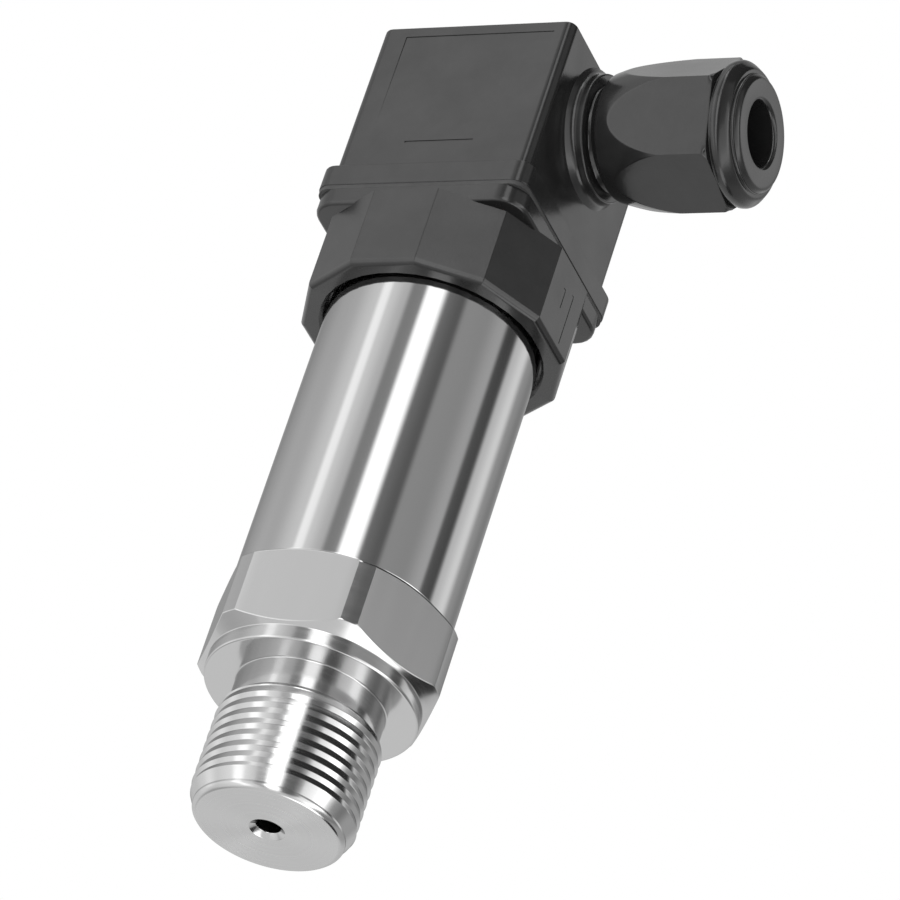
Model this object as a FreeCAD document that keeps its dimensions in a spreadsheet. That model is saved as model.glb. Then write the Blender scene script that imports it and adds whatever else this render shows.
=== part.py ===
import FreeCAD, Part
import math
import os
import re
import Sketcher

# Pressure transmitter with a square cable plug, all sizes in millimetres.
# The body axis is Z. Height 0 is the face of the threaded end, the plug is at
# the top, and the cable leaves the plug towards +X.

SIZES = {
    # threaded end and hexagon, one turned piece
    "thread_radius": 10.0,
    "thread_length": 14.6,
    "thread_bevel": 0.92,
    "relief_depth": 0.9,
    "relief_width": 2.4,
    "collar_radius": 13.0,
    "collar_height": 1.85,
    "collar_bevel": 0.2,
    "hex_flats": 27.0,
    "hex_corner_cut": 0.588,
    "hex_corner_height": 8.3,
    "hex_turn": 7.7,
    "port_radius": 1.5,
    "port_bevel": 0.7,
    "port_bevel_depth": 0.55,
    "chamber_radius": 7.8,
    "chamber_depth": 0.8,
    "spigot_length": 7.8,
    # tube
    "tube_radius": 13.3,
    "tube_wall": 1.0,
    "tube_length": 47.3,
    "tube_bevel": 0.15,
    # sensor
    "sensor_radius": 9.5,
    "sensor_length": 12.0,
    "foil_seat": 0.3,
    "foil_margin": 0.4,
    "foil_thickness": 0.15,
    "foil_wave": 0.35,
    "sensor_seal_section": 1.6,
    "sensor_seal_rise": 3.3,
    "seal_bevel": 0.35,
    "groove_side": 0.3,
    "header_radius": 6.2,
    "header_rise": 1.2,
    "filling_tube_radius": 0.75,
    "filling_tube_rise": 2.0,
    "pin_radius": 0.25,
    "pin_circle": 4.0,
    "retainer_radius": 10.4,
    "retainer_bore": 7.0,
    "retainer_length": 3.5,
    "retainer_recess": 1.0,
    "spanner_hole_radius": 0.9,
    "spanner_hole_depth": 2.0,
    # electronics
    "holder_thickness": 1.5,
    "holder_wall": 2.6,
    "rail_depth": 2.2,
    "rail_width": 3.4,
    "rail_headroom": 3.5,
    "rail_groove": 0.8,
    "board_thickness": 1.0,
    "board_margin": 1.3,
    "board_headroom": 2.5,
    "chip_side": 7.0,
    "chip_thickness": 1.2,
    "driver_width": 5.0,
    "driver_height": 4.0,
    "driver_thickness": 1.4,
    "small_width": 3.2,
    "small_height": 2.2,
    "small_thickness": 0.9,
    "capacitor_radius": 1.6,
    "capacitor_length": 3.2,
    "capacitor_spacing": 6.0,
    "row_pitch": 6.5,
    "wire_radius": 0.45,
    "wire_spread": 6.5,
    # connector base
    "collar_gap": 0.45,
    "collar_wall": 2.38,
    "collar_overlap": 7.2,
    "collar_roof": 3.7,
    "collar_rim": 0.8,
    "base_flange_thickness": 2.4,
    "base_flange_corner": 3.4,
    "base_flange_rim": 0.5,
    "base_spigot_length": 10.5,
    "base_floor_thickness": 7.6,
    "mark_depth": 0.5,
    "mark_width": 0.84,
    "long_mark": 7.2,
    "short_mark": 2.8,
    "tube_seal_section": 1.2,
    "tube_seal_drop": 7.5,
    "brass_radius": 2.4,
    "brass_length": 6.5,
    # contacts
    "blade_width": 6.3,
    "blade_thickness": 0.8,
    "blade_offset": 9.0,
    "blade_tail": 3.0,
    "blade_bevel": 0.3,
    "clip_wall": 0.4,
    "terminal_screw_radius": 1.9,
    "terminal_screw_head": 1.4,
    "terminal_shank_radius": 1.4,
    # plug
    "gasket_thickness": 0.6,
    "gasket_inset": 0.05,
    "foot_thickness": 3.1,
    "foot_lip": 1.04,
    "foot_corner": 2.0,
    "foot_rim": 0.4,
    "carrier_edge_x": 2.41,
    "carrier_edge_y": 2.28,
    "box_height": 26.0,
    "box_wall": 1.7,
    "box_roof": 3.2,
    "box_corner": 1.3,
    "box_rim": 0.9,
    "panel_width": 20.3,
    "panel_shift": 0.65,
    "panel_height": 14.0,
    "panel_margin": 1.6,
    "panel_depth": 0.3,
    "pry_slot_width": 9.3,
    "pry_slot_height": 0.5,
    "pry_slot_depth": 1.1,
    "pry_slot_rise": 7.2,
    "well_radius": 4.2,
    "well_depth": 6.2,
    "well_bevel": 0.4,
    "well_wall": 1.4,
    "well_floor": 1.2,
    "tower_radius": 3.3,
    "tower_height": 5.95,
    "carrier_roof": 1.2,
    "blade_gap": 1.0,
    # fixing screw
    "screw_radius": 1.5,
    "screw_hole_gap": 0.2,
    "screw_head_radius": 2.75,
    "screw_head_height": 2.4,
    "screw_bevel": 0.3,
    "driver_slot_width": 0.8,
    "driver_slot_depth": 1.1,
    "screw_washer_thickness": 0.8,
    "screw_washer_margin": 0.7,
    # cable gland
    "gland_drop": 8.12,
    "boss_radius": 8.0,
    "boss_length": 1.94,
    "neck_radius": 7.0,
    "neck_bore": 5.4,
    "neck_length": 13.84,
    "grommet_length": 11.9,
    "grommet_grip": 0.55,
    "cable_radius": 4.05,
    "nut_gap": 1.5,
    "nut_length": 18.9,
    "nut_flats": 17.0,
    "nut_turn": 23.0,
    "nut_skirt": 9.0,
    "nut_mouth_wall": 0.75,
    "nut_mouth_rim": 0.5,
    "nut_hex_length": 6.1,
    "nut_hex_bevel": 0.4,
    "nut_groove_depth": 0.7,
    "nut_groove_width": 0.4,
    "nut_bead_height": 1.0,
    "nut_nose_radius": 6.7,
    "nut_end_wall": 5.5,
    "clamp_thickness": 1.0,
    "clamp_hole_gap": 0.4,
    # clearances
    "fit": 0.05,
    "play": 0.3,
}

# Sizes that follow from the driving ones, as expressions of them.
DERIVED = {
    "end_face_radius": "thread_radius - thread_bevel",
    "relief_radius": "thread_radius - relief_depth",
    "relief_low": "thread_length + relief_depth",
    "collar_seat": "relief_low + relief_width",
    "collar_top": "collar_seat + collar_height",
    "bevel_slope": "tan(30 deg)",
    "hex_corner": "hex_flats / 2 / cos(30 deg)",
    "hex_corner_radius": "hex_corner - hex_corner_cut",
    "hex_corner_low": "collar_top + (hex_corner_radius - collar_radius) * bevel_slope",
    "hex_corner_high": "hex_corner_low + hex_corner_height",
    "tube_seat": "hex_corner_high + (hex_corner_radius - tube_radius) * bevel_slope",
    "tube_bore": "tube_radius - tube_wall",
    "tube_top": "tube_seat + tube_length",
    "spigot_radius": "tube_bore - fit",
    "spigot_top": "tube_seat + spigot_length",
    "retainer_top": "spigot_top - retainer_recess",
    "sensor_top": "retainer_top - retainer_length",
    "pocket_floor": "sensor_top - sensor_length",
    "pocket_radius": "sensor_radius + fit",
    "foil_face": "pocket_floor + foil_seat",
    "seal_low": "pocket_floor + sensor_seal_rise",
    "seal_high": "seal_low + sensor_seal_section",
    "header_top": "sensor_top + header_rise",
    "holder_top": "spigot_top + holder_thickness",
    "holder_radius": "tube_bore - 2 * fit",
    "board_radius": "holder_radius - board_margin",
    "board_top": "holder_top + board_thickness",
    "rail_outer": "holder_radius - 0.4",
    "rail_inner": "rail_outer - rail_depth",
    "amplifier_low": "board_top + board_thickness",
    "amplifier_half": "rail_inner + rail_groove - fit",
    "rail_top": "base_spigot_low - rail_headroom",
    "amplifier_top": "base_spigot_low - board_headroom",
    "collar_hole": "tube_radius + collar_gap",
    "collar_corner": "(collar_hole + collar_wall) / cos(15 deg)",
    "collar_low": "tube_top - collar_overlap",
    "flange_low": "tube_top + collar_roof",
    "base_top": "flange_low + base_flange_thickness",
    "base_floor": "base_top - base_floor_thickness",
    "base_spigot_low": "tube_top - base_spigot_length",
    "base_spigot_radius": "tube_bore - 2 * fit",
    "base_spigot_bore": "blade_offset + blade_thickness / 2 + 2 * fit",
    "tube_seal_low": "tube_top - tube_seal_drop",
    "brass_low": "base_top - brass_length",
    "blade_low": "base_floor - blade_tail",
    "carrier_half_x": "blade_offset + carrier_edge_x",
    "carrier_half_y": "blade_offset + carrier_edge_y",
    "cavity_half_x": "carrier_half_x + fit",
    "cavity_half_y": "carrier_half_y + fit",
    "box_half_x": "cavity_half_x + box_wall",
    "box_half_y": "cavity_half_y + box_wall",
    "flange_half": "box_half_x + foot_lip",
    "plug_low": "base_top + gasket_thickness",
    "foot_top": "plug_low + foot_thickness",
    "box_top": "plug_low + box_height",
    "roof_low": "box_top - box_roof",
    "seat_height": "box_top - well_depth",
    "column_low": "seat_height - well_floor",
    "carrier_top": "column_low - fit - tower_height",
    "chamber_top": "carrier_top - carrier_roof",
    "blade_top": "chamber_top - blade_gap",
    "screw_hole": "screw_radius + screw_hole_gap",
    "screw_seat": "seat_height + screw_washer_thickness",
    "screw_top": "screw_seat + screw_head_height",
    "gland_height": "box_top - gland_drop",
    "boss_face": "box_half_x + boss_length",
    "neck_end": "box_half_x + neck_length",
    "nut_mouth": "boss_face + nut_gap",
    "nut_end": "nut_mouth + nut_length",
    "nut_floor": "nut_end - nut_end_wall",
    "nut_bore": "neck_radius + fit",
    "nut_corner": "nut_flats / 2 / cos(30 deg)",
    "nut_skirt_end": "nut_mouth + nut_skirt",
    "nut_hex_end": "nut_skirt_end + nut_hex_length",
    "nut_groove_radius": "nut_corner - nut_hex_bevel - nut_groove_depth",
    "nut_bead_low": "nut_hex_end + nut_hex_bevel + nut_groove_width",
    "clamp_high": "nut_floor - fit",
    "clamp_low": "clamp_high - clamp_thickness",
    "clamp_radius": "neck_radius - 4 * fit",
    "grommet_end": "clamp_low - fit",
    "grommet_floor": "grommet_end - grommet_length",
}

# The ways a turned piece's outline is laid: up the body axis, or out along the cable.
UPRIGHT = FreeCAD.Rotation()
SIDEWAYS = FreeCAD.Rotation(FreeCAD.Vector(0, 1, 0), 90)

doc = FreeCAD.newDocument("PressureTransmitter")
sheet = doc.addObject("Spreadsheet::Sheet", "Sizes")
for row, (word, number) in enumerate(SIZES.items(), start=1):
    sheet.set(f"A{row}", word)
    sheet.set(f"B{row}", str(number))
    sheet.setAlias(f"B{row}", word)
doc.recompute()

PARTS = []


def bound(text):
    """An expression on the sheet's cells, from one written with the plain words."""
    def swap(match):
        word = match.group()
        if word in DERIVED:
            return "(" + bound(DERIVED[word]) + ")"
        return "Sizes." + word if word in SIZES else word
    return re.sub(r"[a-z][a-z_]*", swap, str(text))


def value(text):
    return float(sheet.evalExpression(bound(text)))


def tie(thing, **links):
    """Bind properties to expressions; a double underscore stands for a dot."""
    for name, text in links.items():
        thing.setExpression(name.replace("__", "."), bound(text))


def place(thing, x=0, y=0, z=0, rotation=None):
    if rotation is not None:
        thing.Placement = FreeCAD.Placement(FreeCAD.Vector(), rotation)
    for axis, text in (("x", x), ("y", y), ("z", z)):
        if text != 0:
            thing.setExpression("Placement.Base." + axis, bound(text))


def part(thing, label):
    """Enter an object in the list of finished sub-parts."""
    thing.Label = label
    PARTS.append(thing)
    return thing


def new_body(label):
    return part(doc.addObject("PartDesign::Body", label), label)


def plain_solid(label):
    """A sub-part whose shape is set at the end of its own section."""
    return part(doc.addObject("Part::Feature", label), label)


def new_sketch(body, name, plane="XZ_Plane"):
    sketch = body.newObject("Sketcher::SketchObject", name)
    support = [item for item in body.Origin.OriginFeatures if item.Role == plane][0]
    sketch.AttachmentSupport = [(support, "")]
    sketch.MapMode = "FlatFace"
    return sketch


def hold(sketch, kind, text, *places):
    """Add a constraint whose number is bound to an expression."""
    index = sketch.addConstraint(Sketcher.Constraint(kind, *places, value(text)))
    sketch.setExpression(f"Constraints[{index}]", bound(text))


def arc_between(start, finish, radius):
    """The short arc from start to finish that bulges to the right of the way."""
    way = finish - start
    right = FreeCAD.Vector(way.y, -way.x, 0).normalize()
    bulge = radius - math.sqrt(radius ** 2 - (way.Length / 2) ** 2)
    return Part.Arc(start, (start + finish) / 2 + right * bulge, finish)


def outline(body, name, points, plane="XZ_Plane"):
    """A closed sketch through points, each held by two bound distances.

    A third item in a point is the radius of the arc that leads from it to the
    next, which bulges to the right of the way.
    """
    sketch = new_sketch(body, name, plane)
    spots = [FreeCAD.Vector(value(item[0]), value(item[1]), 0) for item in points]
    count = len(points)
    for index, spot in enumerate(spots):
        following = spots[(index + 1) % count]
        if len(points[index]) == 3:
            side = arc_between(spot, following, value(points[index][2]))
        else:
            side = Part.LineSegment(spot, following)
        sketch.addGeometry(side, False)
    for index in range(count):
        sketch.addConstraint(Sketcher.Constraint("Coincident", index, 2, (index + 1) % count, 1))
    for index, item in enumerate(points):
        hold(sketch, "DistanceX", item[0], -1, 1, index, 1)
        hold(sketch, "DistanceY", item[1], -1, 1, index, 1)
        if len(item) == 3:
            hold(sketch, "Radius", item[2], index)
    return sketch


def turn_in(body, name, points, kind="PartDesign::Revolution"):
    """Revolve an outline of (radius, height) points about the body's own Z axis."""
    sketch = outline(body, name + "_outline", points)
    made = body.newObject(kind, name)
    made.Profile = sketch
    made.ReferenceAxis = (sketch, ["V_Axis"])
    made.Angle = 360
    return made


def turned(label, points, rotation=UPRIGHT):
    """A piece of revolution; laid sideways it turns about the cable axis."""
    body = new_body(label)
    turn_in(body, label + "_form", points)
    if rotation is SIDEWAYS:
        place(body, z="gland_height", rotation=SIDEWAYS)
    return body


def mill_hexagon(body, name, corner, turn, low, high, stock):
    """Take away what stands outside a hexagon between two heights, as a mill does."""
    spots = []
    for number in range(6):
        angle = f"({turn} + {60 * number}) * 1 deg"
        spots.append((f"{corner} * cos({angle})", f"{corner} * sin({angle})"))
    sketch = outline(body, name + "_outline", spots, plane="XY_Plane")
    reach = f"{stock} + 2 * {corner}"
    circle = Part.Circle(FreeCAD.Vector(), FreeCAD.Vector(0, 0, 1), value(reach))
    rim = sketch.addGeometry(circle, False)
    sketch.addConstraint(Sketcher.Constraint("Coincident", rim, 3, -1, 1))
    hold(sketch, "Radius", reach, rim)
    sketch.setExpression("AttachmentOffset.Base.z", bound(low))
    pocket = body.newObject("PartDesign::Pocket", name)
    pocket.Profile = sketch
    pocket.Reversed = True
    tie(pocket, Length=f"{high} - ({low})")
    return pocket


def add(body, kind, name, x=0, y=0, z=0, rotation=None, **links):
    """A PartDesign primitive in a body, bound to the sheet."""
    made = body.newObject("PartDesign::" + kind, name)
    place(made, x, y, z, rotation)
    tie(made, **links)
    return made


def block(body, name, half_x, half_y, low, high, cut=False, x="0", y="0"):
    """A box centred on (x, y) from one height to another, added or cut."""
    kind = "SubtractiveBox" if cut else "AdditiveBox"
    return add(body, kind, name, f"({x}) - ({half_x})", f"({y}) - ({half_y})", low,
               Length=f"2 * ({half_x})", Width=f"2 * ({half_y})", Height=f"({high}) - ({low})")


def drum(body, name, radius, low, high, cut=False, x=0, y=0):
    kind = "SubtractiveCylinder" if cut else "AdditiveCylinder"
    return add(body, kind, name, x, y, low, Radius=radius, Height=f"({high}) - ({low})")


def drum_sideways(body, name, radius, near, far, cut=False):
    """A cylinder on the cable axis from one distance to another."""
    kind = "SubtractiveCylinder" if cut else "AdditiveCylinder"
    return add(body, kind, name, x=near, z="gland_height", rotation=SIDEWAYS,
               Radius=radius, Height=f"({far}) - ({near})")


def round_edges(body, name, radius, test):
    """Round the edges of the body's tip that pass a test."""
    doc.recompute()
    base = body.Tip
    names = [f"Edge{index}" for index, edge in enumerate(base.Shape.Edges, start=1) if test(edge)]
    made = body.newObject("PartDesign::Fillet", name)
    made.Base = (base, names)
    tie(made, Radius=radius)
    doc.recompute()
    return made


def is_upright(edge):
    ends = [vertex.Point for vertex in edge.Vertexes]
    if len(ends) < 2:
        return False
    run = ends[1] - ends[0]
    return abs(run.z) > 0.9 * run.Length > 0


def level_at(edge, height):
    box = edge.BoundBox
    return abs(box.ZMin - height) < 1e-4 and abs(box.ZMax - height) < 1e-4


def ends_at(edge, height):
    return is_upright(edge) and abs(edge.BoundBox.ZMax - height) < 1e-4


def seal(label, outer, section, low):
    """A ring pressed into its groove, so that its section has flat sides."""
    return turned(label, [
        (f"{outer} - {section}", f"{low} + seal_bevel"),
        (f"{outer} - {section} + seal_bevel", low),
        (f"{outer} - seal_bevel", low),
        (outer, f"{low} + seal_bevel"),
        (outer, f"{low} + {section} - seal_bevel"),
        (f"{outer} - seal_bevel", f"{low} + {section}"),
        (f"{outer} - {section} + seal_bevel", f"{low} + {section}"),
        (f"{outer} - {section}", f"{low} + {section} - seal_bevel"),
    ])


# Threaded end, hexagon and sensor pocket: one turned piece.
process = new_body("process_connection")
turn_in(process, "steel_blank", [
    ("port_radius + port_bevel", "0"),
    ("end_face_radius", "0"),
    ("thread_radius", "thread_bevel"),
    ("thread_radius", "thread_length"),
    ("relief_radius", "relief_low"),
    ("relief_radius", "collar_seat"),
    ("collar_radius - collar_bevel", "collar_seat"),
    ("collar_radius", "collar_seat + collar_bevel"),
    ("collar_radius", "collar_top"),
    ("hex_corner_radius", "hex_corner_low"),
    ("hex_corner_radius", "hex_corner_high"),
    ("tube_radius", "tube_seat"),
    ("spigot_radius", "tube_seat"),
    ("spigot_radius", "spigot_top"),
    ("retainer_radius + fit", "spigot_top"),
    ("retainer_radius + fit", "sensor_top"),
    ("pocket_radius", "sensor_top"),
    ("pocket_radius", "pocket_floor"),
    ("chamber_radius", "pocket_floor"),
    ("chamber_radius", "pocket_floor - chamber_depth"),
    ("port_radius", "pocket_floor - chamber_depth"),
    ("port_radius", "port_bevel_depth"),
])
mill_hexagon(process, "spanner_flats", "hex_corner", "hex_turn", "collar_top", "tube_seat",
             "hex_corner_radius")

# Sensor capsule: steel can with a recessed face, seal groove, header and filling tube.
capsule = turned("sensor_capsule", [
    ("0", "foil_face"),
    ("chamber_radius + foil_margin", "foil_face"),
    ("chamber_radius + foil_margin", "pocket_floor"),
    ("sensor_radius", "pocket_floor"),
    ("sensor_radius", "seal_low - groove_side"),
    ("sensor_radius - sensor_seal_section", "seal_low - groove_side"),
    ("sensor_radius - sensor_seal_section", "seal_high + groove_side"),
    ("sensor_radius", "seal_high + groove_side"),
    ("sensor_radius", "sensor_top"),
    ("header_radius", "sensor_top"),
    ("header_radius", "header_top"),
    ("0", "header_top"),
])
drum(capsule, "filling_tube", "filling_tube_radius", "header_top", "header_top + filling_tube_rise")

# Corrugated foil on the capsule's face, drawn as a folded band of even thickness.
FOLDS = 6
foil_low = []
foil_high = []
for number in range(FOLDS + 1):
    radius = f"(chamber_radius + foil_margin - play) * {number} / {FOLDS}"
    dip = "foil_wave" if number % 2 else "0"
    foil_low.append((radius, f"foil_face - foil_thickness - {dip}"))
    foil_high.append((radius, f"foil_face - {dip}"))
turned("isolating_diaphragm", foil_low + foil_high[::-1])

seal("sensor_o_ring", "sensor_radius", "sensor_seal_section", "seal_low")

# Gold-plated pins, glassed into the header in a circle.
PIN_COUNT = 5
pins = plain_solid("header_pins")
pin_solids = []
for number in range(PIN_COUNT):
    angle = 2 * math.pi * number / PIN_COUNT
    spot = FreeCAD.Vector(value("pin_circle") * math.cos(angle), value("pin_circle") * math.sin(angle),
                          value("header_top"))
    rise = value("board_top + board_thickness / 2 - header_top")
    pin_solids.append(Part.makeCylinder(value("pin_radius"), rise, spot))
pins.Shape = Part.makeCompound(pin_solids)

# Threaded ring that holds the capsule down, with two holes for a pin spanner.
retainer = turned("sensor_retaining_ring", [
    ("retainer_bore", "sensor_top"),
    ("retainer_radius", "sensor_top"),
    ("retainer_radius", "retainer_top"),
    ("retainer_bore", "retainer_top"),
])
for name, side in (("left", "-1"), ("right", "1")):
    drum(retainer, "spanner_hole_" + name, "spanner_hole_radius", "retainer_top - spanner_hole_depth",
         "retainer_top", cut=True, x=f"{side} * (retainer_bore + retainer_radius) / 2")

# Tube, bevelled outside at both ends.
turned("housing_tube", [
    ("tube_bore", "tube_seat"),
    ("tube_radius - tube_bevel", "tube_seat"),
    ("tube_radius", "tube_seat + tube_bevel"),
    ("tube_radius", "tube_top - tube_bevel"),
    ("tube_radius - tube_bevel", "tube_top"),
    ("tube_bore", "tube_top"),
])

# Board holder: a ring on the spigot with two upright rails, grooved for the amplifier board.
holder = turned("board_holder", [
    ("holder_radius - holder_wall", "spigot_top"),
    ("holder_radius", "spigot_top"),
    ("holder_radius", "holder_top"),
    ("holder_radius - holder_wall", "holder_top"),
])
for name, near in (("left", "-rail_outer"), ("right", "rail_inner")):
    add(holder, "AdditiveBox", "rail_" + name, x=near, y="-rail_width / 2", z="spigot_top",
        Length="rail_depth", Width="rail_width", Height="rail_top - spigot_top")
for name, near in (("left", "-(rail_inner + rail_groove)"), ("right", "rail_inner - play")):
    add(holder, "SubtractiveBox", "groove_" + name, x=near, y="-(board_thickness / 2 + fit)",
        z="amplifier_low - fit", Length="rail_groove + play", Width="board_thickness + 2 * fit",
        Height="rail_top - amplifier_low + 2 * fit")

# Round board on the header pins, notched for the rails.
round_board = new_body("compensation_board")
drum(round_board, "round_blank", "board_radius", "holder_top", "board_top")
for name, near in (("left", "-board_radius - play"), ("right", "rail_inner - fit")):
    add(round_board, "SubtractiveBox", "rail_notch_" + name, x=near, y="-(rail_width / 2 + fit)",
        z="holder_top", Length="board_radius + play - rail_inner + fit",
        Width="rail_width + 2 * fit", Height="board_thickness")
for number in range(PIN_COUNT):
    angle = f"{360 / PIN_COUNT * number} deg"
    drum(round_board, f"pin_hole_{number + 1}", "pin_radius + fit", "holder_top", "board_top", cut=True,
         x=f"pin_circle * cos({angle})", y=f"pin_circle * sin({angle})")

upright_board = new_body("amplifier_board")
block(upright_board, "board_blank", "amplifier_half", "board_thickness / 2", "amplifier_low",
      "amplifier_top")

# Parts soldered to both faces of the amplifier board: kind, side, columns across, rows up.
COMPONENTS = [
    ("chip", 1, 0, 1.5),
    ("small", 1, -1, 0.5),
    ("small", 1, 1, 0.5),
    ("driver", -1, 0, 1.2),
    ("small", -1, -1, 2.2),
    ("small", -1, 1, 2.2),
]
COMPONENT_SIZES = {
    "chip": ("chip_side", "chip_side", "chip_thickness"),
    "small": ("small_width", "small_height", "small_thickness"),
    "driver": ("driver_width", "driver_height", "driver_thickness"),
}
components = plain_solid("board_components")
board_face = value("board_thickness / 2")
component_solids = []
for kind, side, column, rows in COMPONENTS:
    width, tall, thick = (value(text) for text in COMPONENT_SIZES[kind])
    low_y = board_face if side > 0 else -board_face - thick
    middle_x = column * value("row_pitch")
    middle_z = value("amplifier_low") + rows * value("row_pitch")
    corner = FreeCAD.Vector(middle_x - width / 2, low_y, middle_z - tall / 2)
    component_solids.append(Part.makeBox(width, thick, tall, corner))
for side in (-1, 1):
    foot = FreeCAD.Vector(side * value("capacitor_spacing / 2"), board_face,
                          value("amplifier_top - row_pitch / 2"))
    component_solids.append(Part.makeCylinder(value("capacitor_radius"), value("capacitor_length"), foot,
                                              FreeCAD.Vector(0, 1, 0)))
components.Shape = Part.makeCompound(component_solids)

# Contact positions: +X, -X and +Y carry the signal, -Y the earth.
BLADE_SPOTS = [("right", 1, 0), ("left", -1, 0), ("rear", 0, 1), ("earth", 0, -1)]


def across(side_x, along, through):
    """Half sizes of a flat contact: its width runs along the square it stands on."""
    return (through, along) if side_x else (along, through)


# Three wires from pads at the board's top edge to the tails of the blades.
wires = plain_solid("signal_wires")
wire_solids = []
wire_y = board_face + value("wire_radius")
pad_low = value("amplifier_top - 2 * row_pitch / 3")
pad_high = value("amplifier_top + wire_radius")
tail_low = value("blade_low")
for name, side_x, side_y in BLADE_SPOTS[:3]:
    start_x = side_x * value("wire_spread")
    tail_x = side_x * value("blade_offset")
    tail_y = wire_y if side_x else value("blade_offset")
    turn_low = tail_low - 4 * value("wire_radius")
    route = [
        FreeCAD.Vector(start_x, wire_y, pad_low),
        FreeCAD.Vector(start_x, wire_y, pad_high),
        FreeCAD.Vector(tail_x, tail_y, turn_low),
        FreeCAD.Vector(tail_x, tail_y, tail_low),
    ]
    spine = Part.Wire(Part.makePolygon(route).Edges)
    end = Part.Wire([Part.makeCircle(value("wire_radius"), route[0], FreeCAD.Vector(0, 0, 1))])
    wire_solids.append(spine.makePipeShell([end], True, True, 1))
wires.Shape = Part.makeCompound(wire_solids)

# Connector base: square flange, and a twelve-sided collar under it over the tube end.
base = new_body("connector_base")
block(base, "square_flange", "flange_half", "flange_half", "flange_low", "base_top")
round_edges(base, "flange_corners", "base_flange_corner", is_upright)
round_edges(base, "flange_lower_rim", "base_flange_rim", lambda edge: level_at(edge, value("flange_low")))
add(base, "AdditivePrism", "twelve_sided_collar", z="collar_low",
    rotation=FreeCAD.Rotation(FreeCAD.Vector(0, 0, 1), 15),
    Polygon="12", Circumradius="collar_corner", Height="flange_low - collar_low")
round_edges(base, "collar_lower_rim", "collar_rim", lambda edge: level_at(edge, value("collar_low")))
# The space for the tube end, and the hollow spigot that enters the tube.
turn_in(base, "tube_recess", [
    ("0", "collar_low"),
    ("collar_hole + well_bevel", "collar_low"),
    ("collar_hole", "collar_low + well_bevel"),
    ("collar_hole", "tube_top + fit"),
    ("0", "tube_top + fit"),
], kind="PartDesign::Groove")
turn_in(base, "spigot", [
    ("base_spigot_bore", "base_spigot_low"),
    ("base_spigot_radius - well_bevel", "base_spigot_low"),
    ("base_spigot_radius", "base_spigot_low + well_bevel"),
    ("base_spigot_radius", "tube_seal_low - groove_side"),
    ("base_spigot_radius - tube_seal_section", "tube_seal_low - groove_side"),
    ("base_spigot_radius - tube_seal_section", "tube_seal_low + tube_seal_section + groove_side"),
    ("base_spigot_radius", "tube_seal_low + tube_seal_section + groove_side"),
    ("base_spigot_radius", "tube_top + 2 * fit"),
    ("0", "tube_top + 2 * fit"),
    ("0", "base_floor"),
    ("base_spigot_bore", "base_floor"),
])
drum(base, "brass_hole", "brass_radius", "base_floor", "base_top", cut=True)
for name, side_x, side_y in BLADE_SPOTS:
    half_x, half_y = across(side_x, "blade_width / 2 + fit", "blade_thickness / 2 + fit")
    block(base, "blade_slot_" + name, half_x, half_y, "blade_low - fit", "base_top + fit", cut=True,
          x=f"{side_x} * blade_offset", y=f"{side_y} * blade_offset")
# Two moulded marks on the facet below the cable side.
for name, middle_y, drop, tall in (("long", "1.65 * mark_width", "2.5", "long_mark"),
                                   ("short", "-0.95 * mark_width", "3.2", "short_mark")):
    block(base, name + "_mark_cut", "mark_depth", "mark_width / 2", f"flange_low - {drop} - {tall}",
          f"flange_low - {drop}", cut=True, x="collar_hole + collar_wall", y=middle_y)

seal("tube_o_ring", "base_spigot_radius", "tube_seal_section", "tube_seal_low")

# Brass bush moulded into the base, tapped for the fixing screw.
turned("threaded_insert", [
    ("screw_radius + fit", "brass_low"),
    ("brass_radius", "brass_low"),
    ("brass_radius", "base_top"),
    ("screw_radius + fit", "base_top"),
])

# Flat blades through the base, tapered at the tip.
blades = plain_solid("contact_blades")
earth = plain_solid("earth_blade")
blade_solids = []
for name, side_x, side_y in BLADE_SPOTS:
    half_x, half_y = across(side_x, value("blade_width / 2"), value("blade_thickness / 2"))
    spot = FreeCAD.Vector(side_x * value("blade_offset") - half_x, side_y * value("blade_offset") - half_y,
                          value("blade_low"))
    solid = Part.makeBox(2 * half_x, 2 * half_y, value("blade_top - blade_low"), spot)
    tip = [edge for edge in solid.Edges if level_at(edge, value("blade_top"))]
    solid = solid.makeChamfer(value("blade_bevel"), tip)
    if name == "earth":
        earth.Shape = solid
    else:
        blade_solids.append(solid)
blades.Shape = Part.makeCompound(blade_solids)

# Square gasket under the plug.
gasket = new_body("profile_gasket")
gasket_half = "flange_half - gasket_inset"
block(gasket, "gasket_sheet", gasket_half, gasket_half, "base_top", "plug_low")
round_edges(gasket, "gasket_corners", "foot_corner", is_upright)
drum(gasket, "gasket_screw_hole", "screw_hole", "base_top", "plug_low", cut=True)
for name, side_x, side_y in BLADE_SPOTS:
    half_x, half_y = across(side_x, "blade_width / 2 + play", "blade_thickness / 2 + play")
    block(gasket, "gasket_slot_" + name, half_x, half_y, "base_top", "plug_low", cut=True,
          x=f"{side_x} * blade_offset", y=f"{side_y} * blade_offset")

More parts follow.
